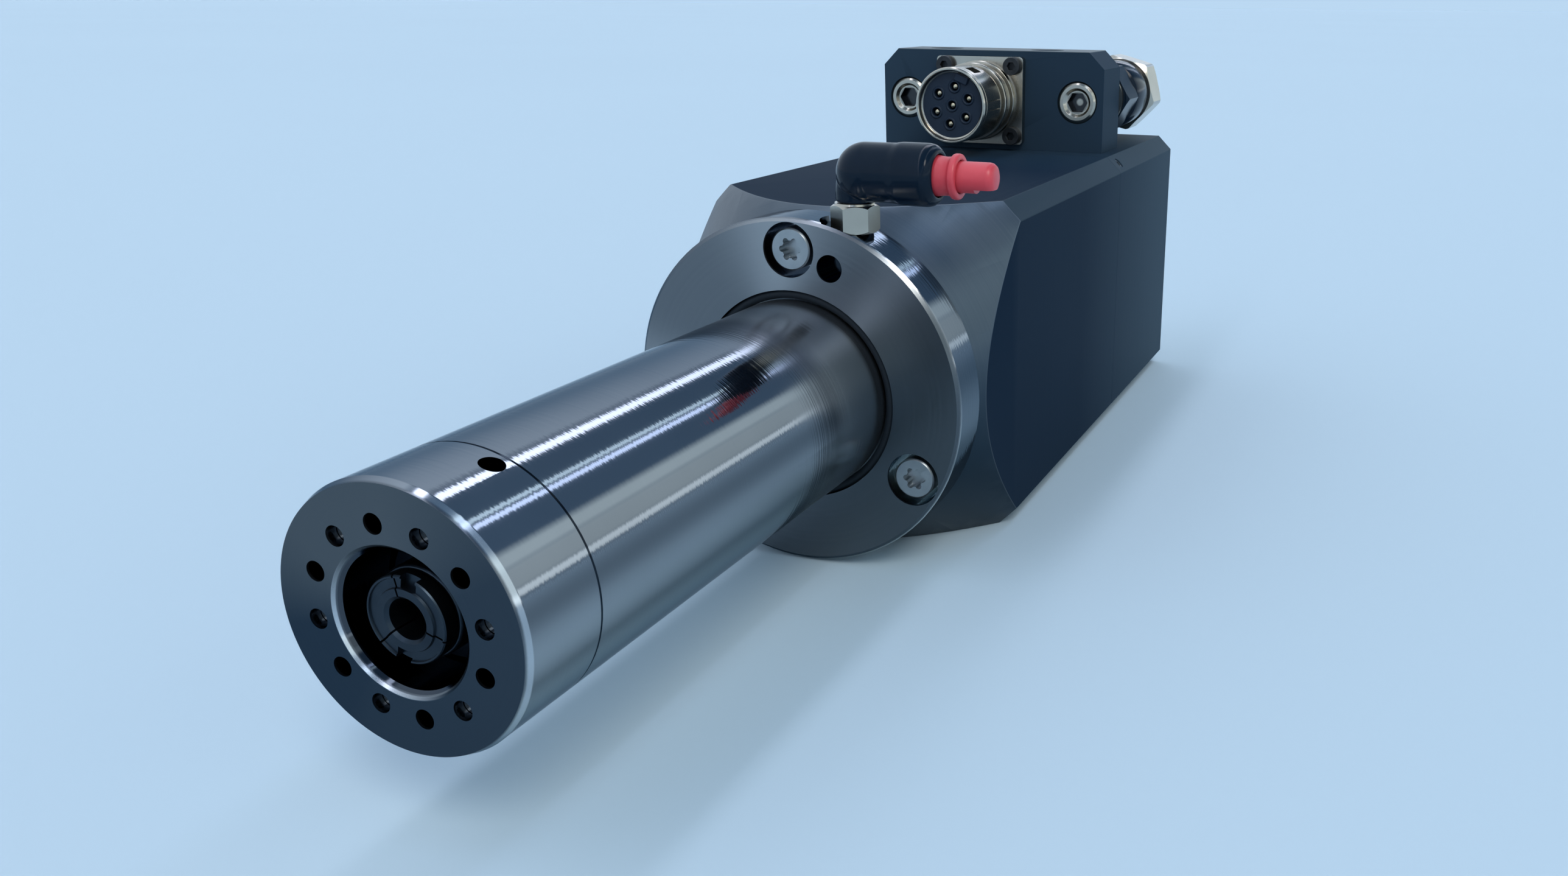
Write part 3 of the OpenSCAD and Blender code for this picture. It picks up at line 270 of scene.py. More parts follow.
def ground_steel():
    """Ground steel of the nose sleeve with painted reflections, and a darker turned face on its flange with
    painted highlights and shade.
    """
    f = Finish("ground_steel")
    x, y, z = f.axes()
    r = radius_from(x, z)
    marks = f.noise(1.0, 1.0, place=f.at(x, y * 1300, z))
    rings = f.noise(1.0, 2.0, place=f.at(r * 7000, 0.0, 0.0))
    wide_rings = f.noise(1.0, 2.0, place=f.at(r * 900, 0.0, 0.0))
    turned = rings * 0.6 + wide_rings * 0.4
    ground = grinding(f, x, y, z)
    cloud = f.noise(38.0, 4.0)
    on_face = r.above(FLANGE_FACE_R, 0.0003) * (1 - y.above(0.0006, 0.0003))
    on_nose = 1 - r.above(NOSE_R + 0.0005, 0.0002)
    grain = ground * (1 - on_face) + turned * on_face
    base = f.mix(*STEEL_TONES, cloud)
    base = painted_reflection_bands(f, f.mix(base, (0.24, 0.255, 0.275), ground * 0.5), x, z, r)
    # Close to the flange the nose is painted paler, a painted reflection of the flange, and made rougher so
    # that it is less sharp there.
    base = f.mix(base, (0.56, 0.59, 0.61), y.above(-0.0185, 0.005) * on_nose * 0.7)
    colour = f.mix(base, (0.115, 0.130, 0.145), on_face)
    colour = f.mix(colour, (0.19, 0.205, 0.22), on_face * turned * 0.7)
    seam = 1 - y.above(SEAM_Y + 0.0002, 0.00005)
    hole = 1 - radius_from(x, z, *LOCATING_HOLE).above(0.0028, 0.0001)
    # A dark seam line, and painted shade deep in the locating hole.
    colour = f.mix(colour, (0.02, 0.026, 0.034), (seam + hole * y.above(0.0004, 0.0002)).clamped())
    # Painted highlights fanning across the turned flange face at three angles.
    painted_fan_highlight = towards(x, z, r, 95) ** 24 * 0.65 + towards(x, z, r, 47) ** 90 * 0.6
    painted_fan_highlight = painted_fan_highlight + towards(x, z, r, 172) ** 60 * 0.4
    colour = f.mix(colour, (0.40, 0.415, 0.43), on_face * painted_fan_highlight.clamped())
    # Painted shade on the flange face, on its right and a little low.
    colour = f.mix(colour, (0.060, 0.078, 0.092), on_face * towards(x, z, r, -20) * 0.6)
    rough = grain * 0.045 + cloud * 0.02 + 0.05 + on_face * 0.22
    rough = rough + y.above(-0.030, 0.014) * on_nose * 0.17
    return steel_surface(f, colour, rough, marks * (1 - on_face) + wide_rings * on_face)


def cap_steel():
    """The cap: ground like the nose on its side, with painted reflections; dark and satin on its face, with
    painted light and shade there and painted highlights on its chamfers.
    """
    f = Finish("cap_steel")
    x, y, z = f.axes()
    r = radius_from(x, z)
    on_face = (1 - y.above(NOSE_FACE + 0.0004, 0.0003)) * (1 - r.above(0.01955, 0.0002))
    inside = 1 - r.above(0.0186, 0.0006)
    seam = y.above(SEAM_Y - 0.00022, 0.00005)
    marks = f.noise(1.0, 1.0, place=f.at(x, y * 1300, z))
    wide_rings = f.noise(1.0, 1.0, place=f.at(r * 900, 0.0, 0.0))
    turned = f.noise(1.0, 2.0, place=f.at(r * 8000, 0.0, 0.0))
    ground = grinding(f, x, y, z)
    cloud = f.noise(38.0, 4.0)
    grain = ground * (1 - on_face) + turned * on_face
    base = painted_reflection_bands(f, f.mix(*STEEL_TONES, cloud), x, z, r)
    mottle = turned * 0.6 + cloud * 0.4
    # Painted light and shade on the face: a lit copy of its colour towards the upper left, a shaded copy
    # elsewhere, darkest to the left.
    painted_lit_face = f.mix((0.090, 0.104, 0.115), (0.118, 0.130, 0.140), mottle)
    painted_shaded_face = f.mix((0.030, 0.046, 0.064), (0.044, 0.060, 0.080), mottle)
    face = f.mix(painted_shaded_face, painted_lit_face, (towards(x, z, r, 118) + 0.12 - towards(x, z, r, 200) ** 8 * 0.5).clamped())
    colour = f.mix(base, face, on_face)
    # Painted shade inside the bore and holes, off the face.
    colour = f.mix(colour, (0.06, 0.07, 0.085), inside * (1 - on_face))
    # Painted highlights on parts of the bore's and the rim's chamfers.
    front = 1 - y.above(NOSE_FACE + 0.0011, 0.0001)
    bore_edge_highlight = between(r, 0.0107, 0.01112, 0.0001) * towards(x, z, r, 215) ** 1.5
    rim = r.above(0.01965, 0.0001) * (towards(x, z, r, 42) ** 8 * 0.9 + towards(x, z, r, -20) ** 3 * 0.5)
    chamfer_highlight = (bore_edge_highlight + rim).clamped() * front
    colour = f.mix(colour, (0.60, 0.64, 0.68), chamfer_highlight)
    on_face = on_face * (1 - chamfer_highlight)
    colour = f.mix(colour, (0.03, 0.04, 0.05), seam)
    rough = grain * 0.045 + cloud * 0.02 + 0.045 + on_face * 0.26 + chamfer_highlight * 0.12
    return steel_surface(f, colour, rough, marks * (1 - on_face) + wide_rings * on_face)


def dark_steel():
    """Shaft and collet: blackened steel, turned, a little rubbed."""
    f = Finish("dark_steel")
    x, y, z = f.axes()
    r = radius_from(x, z)
    turned = f.noise(1.0, 2.0, place=f.at(r * 7000, y * 7000, 0.0))
    cloud = f.noise(150.0, 3.0)
    colour = f.mix((0.012, 0.020, 0.030), (0.040, 0.055, 0.072), cloud)
    return f.surface(Base_Color=colour, Metallic=1.0, Roughness=turned * 0.12 + 0.30,
                     Normal=f.bump(turned, 0.00001, 0.5))


def anodised_housing():
    """Dark satin anodised aluminium: milled flats, and a brighter turned cone in front, with painted light
    on the block and chamfers and painted shade on the cone.
    """
    f = Finish("anodised_housing")
    x, y, z = f.axes()
    r = radius_from(x, z)
    lines = f.noise(1.0, 3.0, place=f.at(x * 1500, y * 1500, z * 30))
    turning = f.noise(1.0, 3.0, place=f.at(r * 2600, y * 2600, 0.0))
    speck = f.noise(2600.0, 2.0)
    cloud = f.noise(14.0, 4.0)
    off_cone = (r - (y - FLANGE_T) * CONE_SLOPE - CONE_START_R).absolute()
    cone = (1 - off_cone.above(0.00018, 0.0001)) * (1 - y.above(0.060, 0.001))
    colour = f.mix((0.0025, 0.0100, 0.0245), (0.0045, 0.0155, 0.033), cloud)
    colour = f.mix(colour, (0.012, 0.026, 0.042), lines * 0.25)
    block = z.above(HALF_W + 0.0005, 0.001)
    # The rear of the housing is paler towards the back. The block's faces carry painted light, more so to
    # the left, and its right end keeps the dark colour as painted shade.
    rear = ((y - 0.085) * 11.0).clamped() * (1 - block) * 0.8
    block_painted_light = block * (1 - x.above(0.0405, 0.0002)) * ((x * -12.0).clamped() * 0.35 + 0.4)
    colour = f.mix(colour, (0.040, 0.066, 0.092), rear + block_painted_light)
    # Painted light on the housing's corner chamfers.
    cut_edge = (x.absolute() + z - (2 * HALF_W - HOUSING_CHAMFER)).absolute()
    colour = f.mix(colour, (0.050, 0.072, 0.090), (1 - cut_edge.above(0.0002, 0.0001)) * (1 - block) * 0.5)
    # Painted light on the block's top face.
    colour = f.mix(colour, (0.155, 0.180, 0.195), z.above(BLOCK_TOP - 0.00015, 0.0001))
    cone_colour = f.mix((0.085, 0.112, 0.142), (0.125, 0.152, 0.18), turning)
    # Painted shade on the cone's left side and, darker, low on its right.
    cone_colour = f.mix(cone_colour, (0.040, 0.055, 0.072), towards(x, z, r, 140) ** 3 * 0.8)
    cone_colour = f.mix(cone_colour, (0.014, 0.030, 0.045), towards(x, z, r, -28) ** 2.5 * 0.95)
    colour = f.mix(colour, cone_colour, cone)
    rough = lines * 0.06 + cloud * 0.05 + 0.42 - cone * 0.10
    grain = (lines * 0.6 + speck * 0.4) * (1 - cone) + turning * cone
    return f.surface(Base_Color=colour, Metallic=cone * 0.9, Roughness=rough, Specular_IOR_Level=0.015,
                     Normal=f.bump(grain, 0.00002, 0.4))


def nickel():
    """Nickel plated brass with a warm tint, with painted shade deep in the two front plugs' sockets."""
    f = Finish("nickel")
    cloud = f.noise(160.0, 4.0)
    fine = f.noise(1400.0, 2.0)
    colour = f.mix((0.37, 0.345, 0.295), (0.50, 0.47, 0.405), cloud)
    x, y, z = f.axes()
    right = 1 - radius_from(x, z, PLUG_X * MM, BLOCK_Z * MM).above(0.0029, 0.0001)
    left = 1 - radius_from(x, z, BLIND_PLUG_X * MM, BLOCK_Z * MM).above(0.0029, 0.0001)
    # Painted shade deep in the two plugs' sockets; the right plug's centre keeps its own colour.
    socket = (right + left) * y.above(0.1284, 0.0004) * (1 - y.above(0.134, 0.001))
    middle = radius_from((x - PLUG_X * MM).absolute(), z, 0.0, BLOCK_Z * MM)
    colour = f.mix(colour, (0.05, 0.052, 0.055), socket.clamped() * middle.above(0.0009, 0.0004))
    return f.surface(Base_Color=colour, Metallic=1.0, Roughness=cloud * 0.05 + fine * 0.05 + 0.16,
                     Normal=f.bump(fine, 0.000012, 0.4))


def zinc_screw():
    """Zinc plated screws, slightly dull."""
    f = Finish("zinc_screw")
    cloud = f.noise(300.0, 4.0)
    colour = f.mix((0.24, 0.27, 0.29), (0.40, 0.425, 0.44), cloud)
    return f.surface(Base_Color=colour, Metallic=1.0, Roughness=cloud * 0.2 + 0.22,
                     Normal=f.bump(cloud, 0.00002, 0.3))


def black_oxide():
    f = Finish("black_oxide")
    cloud = f.noise(500.0, 3.0)
    colour = f.mix((0.012, 0.014, 0.018), (0.05, 0.055, 0.06), cloud)
    return f.surface(Base_Color=colour, Metallic=0.8, Roughness=cloud * 0.2 + 0.35)


def insulating_plastic():
    f = Finish("insulating_plastic")
    cloud = f.noise(600.0, 3.0)
    colour = f.mix((0.005, 0.012, 0.026), (0.010, 0.022, 0.042), cloud)
    return f.surface(Base_Color=colour, Roughness=cloud * 0.15 + 0.42, Specular_IOR_Level=0.25,
                     Normal=f.bump(cloud, 0.00002, 0.3))


def gold_contact():
    f = Finish("gold_contact")
    cloud = f.noise(900.0, 2.0)
    colour = f.mix((0.50, 0.42, 0.27), (0.68, 0.60, 0.44), cloud)
    return f.surface(Base_Color=colour, Metallic=1.0, Roughness=cloud * 0.1 + 0.22)


def glossy_black():
    """Glossy black plastic with a slightly wavy surface."""
    f = Finish("glossy_black")
    wave = f.noise(180.0, 3.0)
    fine = f.noise(2200.0, 2.0)
    colour = f.mix((0.002, 0.007, 0.015), (0.004, 0.011, 0.022), wave)
    return f.surface(Base_Color=colour, Roughness=fine * 0.06 + 0.13, Specular_IOR_Level=0.13,
                     Normal=f.bump(wave, 0.00006, 0.35))


def red_plastic():
    f = Finish("red_plastic")
    wave = f.noise(240.0, 3.0)
    fine = f.noise(2600.0, 2.0)
    colour = f.mix((0.44, 0.026, 0.040), (0.58, 0.050, 0.068), wave)
    return f.surface(Base_Color=colour, Roughness=fine * 0.10 + 0.34,
                     Normal=f.bump(fine, 0.00002, 0.3))


def black_rubber():
    f = Finish("black_rubber")
    fine = f.noise(1800.0, 3.0)
    colour = f.mix((0.003, 0.006, 0.010), (0.008, 0.013, 0.019), fine)
    return f.surface(Base_Color=colour, Roughness=fine * 0.2 + 0.5, Specular_IOR_Level=0.2,
                     Normal=f.bump(fine, 0.00003, 0.4))


def inner_steel():
    f = Finish("inner_steel")
    cloud = f.noise(120.0, 3.0)
    colour = f.mix((0.40, 0.42, 0.45), (0.58, 0.60, 0.62), cloud)
    return f.surface(Base_Color=colour, Metallic=1.0, Roughness=cloud * 0.15 + 0.22)


def spring_blue():
    f = Finish("spring_blue")
    cloud = f.noise(200.0, 3.0)
    colour = f.mix((0.10, 0.13, 0.20), (0.20, 0.24, 0.33), cloud)
    return f.surface(Base_Color=colour, Metallic=1.0, Roughness=cloud * 0.15 + 0.25)


def bare_aluminium():
    f = Finish("bare_aluminium")
    x, y, z = f.axes()
    turned = f.noise(1.0, 2.0, place=f.at(radius_from(x, z) * 5000, y * 5000, 0.0))
    colour = f.mix((0.58, 0.59, 0.61), (0.72, 0.73, 0.75), turned)
    return f.surface(Base_Color=colour, Metallic=1.0, Roughness=turned * 0.15 + 0.28)


def sheet_stack():
    """Stacked electrical sheet: fine dark lines across the axis."""
    f = Finish("sheet_stack")
    _, y, _ = f.axes()
    sheets = (y * (2 * math.pi / 0.0005)).sine() * 0.5 + 0.5
    colour = f.mix((0.07, 0.07, 0.08), (0.22, 0.22, 0.24), sheets)
    return f.surface(Base_Color=colour, Metallic=0.8, Roughness=0.45)


def copper_wire():
    """Varnished copper end turns, wound round the axis."""
    f = Finish("copper_wire")
    x, y, z = f.axes()
    turns = (radius_from(x, z) * (2 * math.pi / 0.0009) + y * 4000).sine() * 0.5 + 0.5
    colour = f.mix((0.18, 0.05, 0.02), (0.62, 0.26, 0.10), turns)
    return f.surface(Base_Color=colour, Metallic=0.7, Roughness=0.3,
                     Normal=f.bump(turns, 0.0002, 0.6))


def turned_brass():
    f = Finish("turned_brass")
    cloud = f.noise(300.0, 3.0)
    colour = f.mix((0.45, 0.31, 0.10), (0.62, 0.46, 0.20), cloud)
    return f.surface(Base_Color=colour, Metallic=1.0, Roughness=cloud * 0.15 + 0.25)


FINISHES = {
    "sleeve_steel": ground_steel(),
    "cap_steel": cap_steel(),
    "shaft_steel": dark_steel(),
    "screw_steel": zinc_screw(),
    "bearing_steel": inner_steel(),
    "plain_steel": inner_steel(),
    "spring_steel": spring_blue(),
    "anodised_dark": anodised_housing(),
    "bare_aluminium": bare_aluminium(),
    "laminations": sheet_stack(),
    "copper": copper_wire(),
    "brass": turned_brass(),
    "nickel": nickel(),
    "black_screws": black_oxide(),
    "black_insert": insulating_plastic(),
    "gold_contacts": gold_contact(),
    "dark_sleeve": glossy_black(),
    "elbow_black": glossy_black(),
    "plug_red": red_plastic(),
    "seal_rubber": black_rubber(),
}


def dress_nodes():
    """Gives every CAD node the finish of its material slot."""
    for part in frame["record"]["subparts"]:
        piece = nodes[part["node"]]
        piece.data.materials.clear()
        piece.data.materials.append(FINISHES[part["material_slot"]])


def alone(piece):
    """Makes one object the only selected and active one."""
    bpy.ops.object.select_all(action="DESELECT")
    piece.select_set(True)
    bpy.context.view_layer.objects.active = piece


def edit(piece, mode="VERT"):
    alone(piece)
    bpy.ops.object.mode_set(mode="EDIT")
    bpy.ops.mesh.select_mode(type=mode)
    bpy.ops.mesh.select_all(action="SELECT")


def leave_edit():
    bpy.ops.object.mode_set(mode="OBJECT")


def settle(piece):
    """Puts the object's place into its mesh."""
    alone(piece)
    bpy.ops.object.transform_apply(location=True, rotation=True, scale=True)


def modified(piece, kind, **settings):
    """Adds one modifier and applies it."""
    modifier = piece.modifiers.new(kind.title(), kind)
    for key, value in settings.items():
        setattr(modifier, key, value)
    alone(piece)
    bpy.ops.object.modifier_apply(modifier=modifier.name)
    return piece


def softened(piece, width, segments=3, angle=30):
    """Smooths the faces, then rounds the edges that are sharper than the angle."""
    alone(piece)
    bpy.ops.object.shade_smooth_by_angle(angle=math.radians(angle + 4))
    return modified(piece, "BEVEL", width=width * MM, segments=segments, limit_method="ANGLE",
                    angle_limit=math.radians(angle), use_clamp_overlap=True, harden_normals=True)


def cut(piece, tool, operation="DIFFERENCE"):
    """Cuts a tool out of a piece, or joins or intersects them, and removes the tool."""
    modified(piece, "BOOLEAN", object=tool, operation=operation, solver="EXACT")
    bpy.data.objects.remove(tool)
    return piece


def finished(piece, name, body, slot, *replaced, angle=None):
    """Names, shades, dresses and mounts a finished piece."""
    settle(piece)
    if angle:
        bpy.ops.object.shade_smooth_by_angle(angle=math.radians(angle))
    piece.name = name
    piece.data.name = name
    piece.data.materials.clear()
    piece.data.materials.append(FINISHES[slot])
    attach(piece, body)
    if replaced:
        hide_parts(*replaced)
    return piece


AXES = {
    "+X": Matrix.Rotation(math.radians(90), 4, "Y"),
    "+Y": Matrix.Rotation(math.radians(-90), 4, "X"),
    "+Z": Matrix.Identity(4),
}


def turned_piece(place, axis, outline, steps=96):
    """Draws a circle out ring by ring through an outline of (radius, height) in mm.

    An outline that starts or ends at radius 0 gets a flat end there, and one that ends
    where it starts is closed into a ring.
    """
    rings = [p for p in outline if p[0] > 0]
    first_r, first_h = rings[0]
    bpy.ops.object.select_all(action="DESELECT")
    bpy.ops.mesh.primitive_circle_add(vertices=steps, radius=first_r * MM, location=(0, 0, first_h * MM))
    piece = bpy.context.active_object
    settle(piece)
    edit(piece)
    if outline[0][0] == 0:
        bpy.ops.mesh.edge_face_add()
        bpy.ops.mesh.select_all(action="SELECT")
        bpy.ops.mesh.select_mode(type="EDGE")
    before = first_r, first_h
    for r, h in rings[1:]:
        if outline[0][0] == 0 and before == (first_r, first_h):
            bpy.ops.mesh.select_all(action="SELECT")
        bpy.ops.mesh.extrude_edges_move(TRANSFORM_OT_translate={"value": (0, 0, (h - before[1]) * MM)})
        k = r / before[0]
        bpy.ops.transform.resize(value=(k, k, 1), center_override=(0, 0, h * MM))
        before = r, h
    if outline[-1][0] == 0:
        bpy.ops.mesh.edge_face_add()
    bpy.ops.mesh.select_all(action="SELECT")
    bpy.ops.mesh.remove_doubles(threshold=1e-7)
    bpy.ops.mesh.normals_make_consistent(inside=False)
    leave_edit()
    piece.matrix_world = Matrix.Translation([c * MM for c in place]) @ AXES[axis]
    settle(piece)
    return piece


def box_piece(low, high):
    """A cube stretched between two corners in mm."""
    bpy.ops.object.select_all(action="DESELECT")
    middle = [(a + b) / 2 * MM for a, b in zip(low, high)]
    bpy.ops.mesh.primitive_cube_add(size=1, location=middle,
                                    scale=[(b - a) * MM for a, b in zip(low, high)])
    piece = bpy.context.active_object
    settle(piece)
    return piece


def prism_piece(place, axis, flats, low, high, turn=0.0):
    """A six-sided bar between two heights in mm, with the width over its flats given."""
    bpy.ops.object.select_all(action="DESELECT")
    bpy.ops.mesh.primitive_cylinder_add(vertices=6, radius=flats / 2 / math.cos(math.pi / 6) * MM,
                                        depth=(high - low) * MM, location=(0, 0, (low + high) / 2 * MM))
    piece = bpy.context.active_object
    settle(piece)
    piece.matrix_world = (Matrix.Translation([c * MM for c in place]) @ AXES[axis]
                          @ Matrix.Rotation(math.radians(turn + 30), 4, "Z"))
    settle(piece)
    return piece


def placed(place, turn):
    """Turns about Y in degrees, then moves to a place in mm."""
    return Matrix.Translation([c * MM for c in place]) @ Matrix.Rotation(math.radians(turn), 4, "Y")


def joined(*pieces):
    bpy.ops.object.select_all(action="DESELECT")
    for piece in pieces:
        piece.select_set(True)
    bpy.context.view_layer.objects.active = pieces[0]
    bpy.ops.object.join()
    return pieces[0]


def copied_node(node):
    """A free copy of a CAD node with merged faces."""
    alone(nodes[node])
    bpy.ops.object.duplicate()
    piece = bpy.context.active_object
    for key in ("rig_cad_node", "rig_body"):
        del piece[key]
    piece.parent = None
    edit(piece)
    bpy.ops.mesh.remove_doubles(threshold=2e-7)
    bpy.ops.mesh.dissolve_limited(angle_limit=math.radians(0.3))
    leave_edit()
    return piece


def softened_node(node, body, slot, width):
    """A copy of a CAD node with lightly broken edges."""
    piece = copied_node(node)
    softened(piece, width, segments=2, angle=25)
    return finished(piece, node + "_edges", body, slot, node)


def compressed_springs(node, body):
    """A copy of a spring node with merged faces and its own mesh, in place of the node."""
    piece = finished(copied_node(node), node + "_working", body, "spring_steel", node, angle=30)
    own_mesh(piece)


def connector_shell():
    """Nickel shell: rimmed front, coding window, rib and grooves, on a screwed plate."""
    front = CONNECTOR_FRONT
    plate = BLOCK_FRONT - PLATE_T
    outline = [(8.4, front + 1.75), (8.85, front + 1.65), (8.95, front + 0.3), (9.2, front), (9.6, front),
               (9.9, front + 0.35), (9.9, front + 1.5),
               (9.5, front + 1.6), (9.5, front + 1.95), (9.85, front + 2.05), (9.9, front + 12.4),
               (9.65, front + 12.7), (9.1, front + 12.8), (9.1, front + 15.1), (10.3, front + 15.2),
               (10.45, front + 15.4), (10.45, front + 16.9), (10.3, front + 17.1), (9.6, front + 17.2),
               (9.6, plate - 1.7), (10.6, plate - 1.6), (10.75, plate - 1.4), (10.75, plate),
               (8.4, plate), (8.4, front + 1.75)]
    shell = turned_piece(POWER_PLACE, "+Y", outline)
    window = box_piece((8.0, front + 4.2, -1.5), (11.5, front + 9.6, 1.5))
    window.matrix_world = placed(POWER_PLACE, -66)
    cut(shell, window)
    for z in (-1.35, 1.05):
        groove = box_piece((9.35, front + 3.0, z), (11.5, front + 12.0, z + 0.3))
        groove.matrix_world = placed(POWER_PLACE, 0)
        cut(shell, groove)
    plate_box = box_piece((POWER_X - PLATE_HALF_W, plate, BLOCK_Z - PLATE_HALF_H),
                          (POWER_X + PLATE_HALF_W, BLOCK_FRONT, BLOCK_Z + PLATE_HALF_H))
    edit(plate_box, "EDGE")
    bpy.ops.mesh.select_all(action="DESELECT")
    leave_edit()
    for edge in plate_box.data.edges:
        a, b = (plate_box.data.vertices[i].co for i in edge.vertices)
        edge.select = abs(a.y - b.y) > 1e-4
    bpy.ops.object.mode_set(mode="EDIT")
    bpy.ops.mesh.bevel(offset=1.0 * MM, segments=4, affect="EDGES")
    leave_edit()
    bore = turned_piece(POWER_PLACE, "+Y",
                        [(0, plate - 1), (8.4, plate - 1), (8.4, BLOCK_FRONT + 1), (0, BLOCK_FRONT + 1)])
    cut(plate_box, bore)
    for sx in (-1, 1):
        for sz in (-1, 1):
            screw_place = (POWER_X + sx * PLATE_SCREW_X, 0, BLOCK_Z + sz * PLATE_SCREW_Z)
            hole = turned_piece(screw_place, "+Y",
                                [(0, plate - 1), (2.7, plate - 1), (2.7, plate + 0.2), (1.5, plate + 0.2),
                                 (1.5, BLOCK_FRONT + 1), (0, BLOCK_FRONT + 1)], steps=48)
            cut(plate_box, hole)
            notch = turned_piece(screw_place, "+Y",
                                 [(0, plate - 3), (2.7, plate - 3), (2.7, plate), (0, plate)], steps=48)
            cut(shell, notch)
    softened(plate_box, 0.2, segments=2)
    softened(shell, 0.08, segments=2, angle=40)
    both = joined(shell, plate_box)
    return finished(both, "connector_shell_detail", "root", "nickel", "power_connector_shell")


def coding_key():
    """Key in the connector's mouth, on the upper right of the insert."""
    front = CONNECTOR_FRONT
    key = box_piece((6.3, front + 0.9, -1.9), (8.38, front + 2.6, 1.9))
    softened(key, 0.35)
    key.matrix_world = placed(POWER_PLACE, -68)
    settle(key)
    return finished(key, "coding_key", "root", "black_insert")


def insert_rings():
    """Raised round collars of the contact chambers on the insert's face."""
    face = INSERT_FACE
    outline = [(1.16, face + 0.6), (1.16, face - 0.15), (1.3, face - 0.28), (1.55, face - 0.28),
               (1.75, face - 0.1), (1.8, face + 0.05), (1.16, face + 0.6)]
    rings = [turned_piece((x, 0, z), "+Y", outline, steps=40) for x, z in contact_places()]
    return finished(joined(*rings), "contact_collars", "root", "black_insert", angle=35)


def contact_places():
    """X and Z of the middle contact and the six round it."""
    places = [(POWER_X, BLOCK_Z)]
    for i in range(6):
        turn = math.radians(60 * i + 22)
        places.append((POWER_X + CHAMBER_CIRCLE_R * math.cos(turn),
                       BLOCK_Z + CHAMBER_CIRCLE_R * math.sin(turn)))
    return places


def contact_pins():
    """Round nosed gold pins in the chambers."""
    face = INSERT_FACE
    outline = [(0, face + 0.45), (0.3, face + 0.45), (0.6, face + 0.57), (0.75, face + 0.9),
               (0.75, face + 3.0), (0.55, face + 3.1), (0.55, face + 4.0), (0, face + 4.0)]
    pins = [turned_piece((x, 0, z), "+Y", outline, steps=32) for x, z in contact_places()]
    return finished(joined(*pins), "contact_pins", "root", "gold_contacts", "power_contacts", angle=35)


def elbow_hexagon():
    """Nickel hexagon with chamfered corners, standing on its stud in the flange's rim."""
    outline = [(0, HEX_LOW), (4.15, HEX_LOW), (4.85, HEX_LOW + 0.55), (4.85, HEX_TOP - 0.95),
               (4.05, HEX_TOP - 0.4), (3.95, HEX_TOP - 0.05), (0, HEX_TOP - 0.05)]
    blank = turned_piece(STUD_PLACE, "+Z", outline)
    hexagon = prism_piece(STUD_PLACE, "+Z", 8.4, HEX_LOW - 1, HEX_TOP + 1, turn=25.8)
    cut(hexagon, blank, "INTERSECT")
    softened(hexagon, 0.09, segments=2, angle=20)
    stud = turned_piece(STUD_PLACE, "+Z",
                        [(1.2, HEX_LOW - 3.8), (2.3, HEX_LOW - 3.8), (2.5, HEX_LOW - 3.5),
                         (2.5, HEX_LOW + 0.2), (1.2, HEX_LOW + 0.2), (1.2, HEX_LOW - 3.8)], steps=64)
    pivot = turned_piece(STUD_PLACE, "+Z",
                         [(1.2, HEX_TOP - 0.3), (2.6, HEX_TOP - 0.3), (2.6, HEX_TOP + 2.7),
                          (2.3, HEX_TOP + 3.0), (1.2, HEX_TOP + 3.0), (1.2, HEX_TOP - 0.3)], steps=64)
    both = joined(hexagon, stud, pivot)
    return finished(both, "elbow_hexagon", "root", "nickel", "elbow_stud")


def elbow_moulding():
    """Black moulded elbow: domed corner, short neck and a fuller collar round the tube socket."""
    x, y = ELBOW
    neck = turned_piece((x + 0.2, y, 0), "+Z",
                        [(0, HEX_TOP + 0.02), (3.6, HEX_TOP + 0.02), (3.9, HEX_TOP + 0.35),
                         (3.95, HEX_TOP + 2.0), (3.5, HEX_TOP + 5.5), (0, HEX_TOP + 5.5)])
    bpy.ops.object.select_all(action="DESELECT")
    bpy.ops.mesh.primitive_uv_sphere_add(segments=96, ring_count=48, radius=5.85 * MM,
                                         location=((x + 2.6) * MM, y * MM, (ARM_Z - 0.15) * MM))
    dome = bpy.context.active_object
    settle(dome)
    arm = turned_piece(ARM_PLACE, "+X",
                       [(0, x + 2.4), (5.7, x + 2.4), (5.75, 21.2), (6.0, 22.6), (6.0, ARM_END - 2.2),
                        (5.75, ARM_END - 1.1), (5.2, ARM_END - 0.4), (4.6, ARM_END), (0, ARM_END)])
    body = cut(dome, neck, "UNION")
    body = cut(body, arm, "UNION")
    socket = turned_piece(ARM_PLACE, "+X",
                          [(0, ARM_END - 14), (3.1, ARM_END - 14), (3.1, ARM_END - 6.5),
                           (4.05, ARM_END - 6.5), (4.05, ARM_END + 1), (0, ARM_END + 1)])
    cut(body, socket)
    well = turned_piece(STUD_PLACE, "+Z",
                        [(0, HEX_TOP - 1), (2.65, HEX_TOP - 1), (2.65, HEX_TOP + 3.2),
                         (1.2, HEX_TOP + 3.2), (1.2, ARM_Z), (0, ARM_Z)], steps=64)
    cut(body, well)
    modified(body, "REMESH", mode="VOXEL", voxel_size=0.16 * MM, adaptivity=0.0)
    modified(body, "SMOOTH", factor=0.5, iterations=16)
    return finished(body, "elbow_moulding", "elbow", "elbow_black", "elbow_body", angle=60)


def release_collar():
    """Red release ring: a waisted neck that widens into a rounded finger flange."""
    e = ARM_END
    ring = turned_piece(ARM_PLACE, "+X",
                        [(3.1, e - 5), (3.8, e - 5), (3.8, e - 1), (3.88, e - 0.5), (3.7, e + 0.6),
                         (3.62, e + 1.5), (3.68, e + 2.3), (3.95, e + 2.75), (4.22, e + 3.0),
                         (4.3, e + 3.25), (4.3, e + 3.8), (4.2, e + 4.1), (3.95, e + 4.28),
                         (3.3, e + 4.28), (3.1, e + 4.1), (3.1, e - 5)])
    return finished(ring, "release_collar", "tube_release", "plug_red", "release_ring", angle=40)


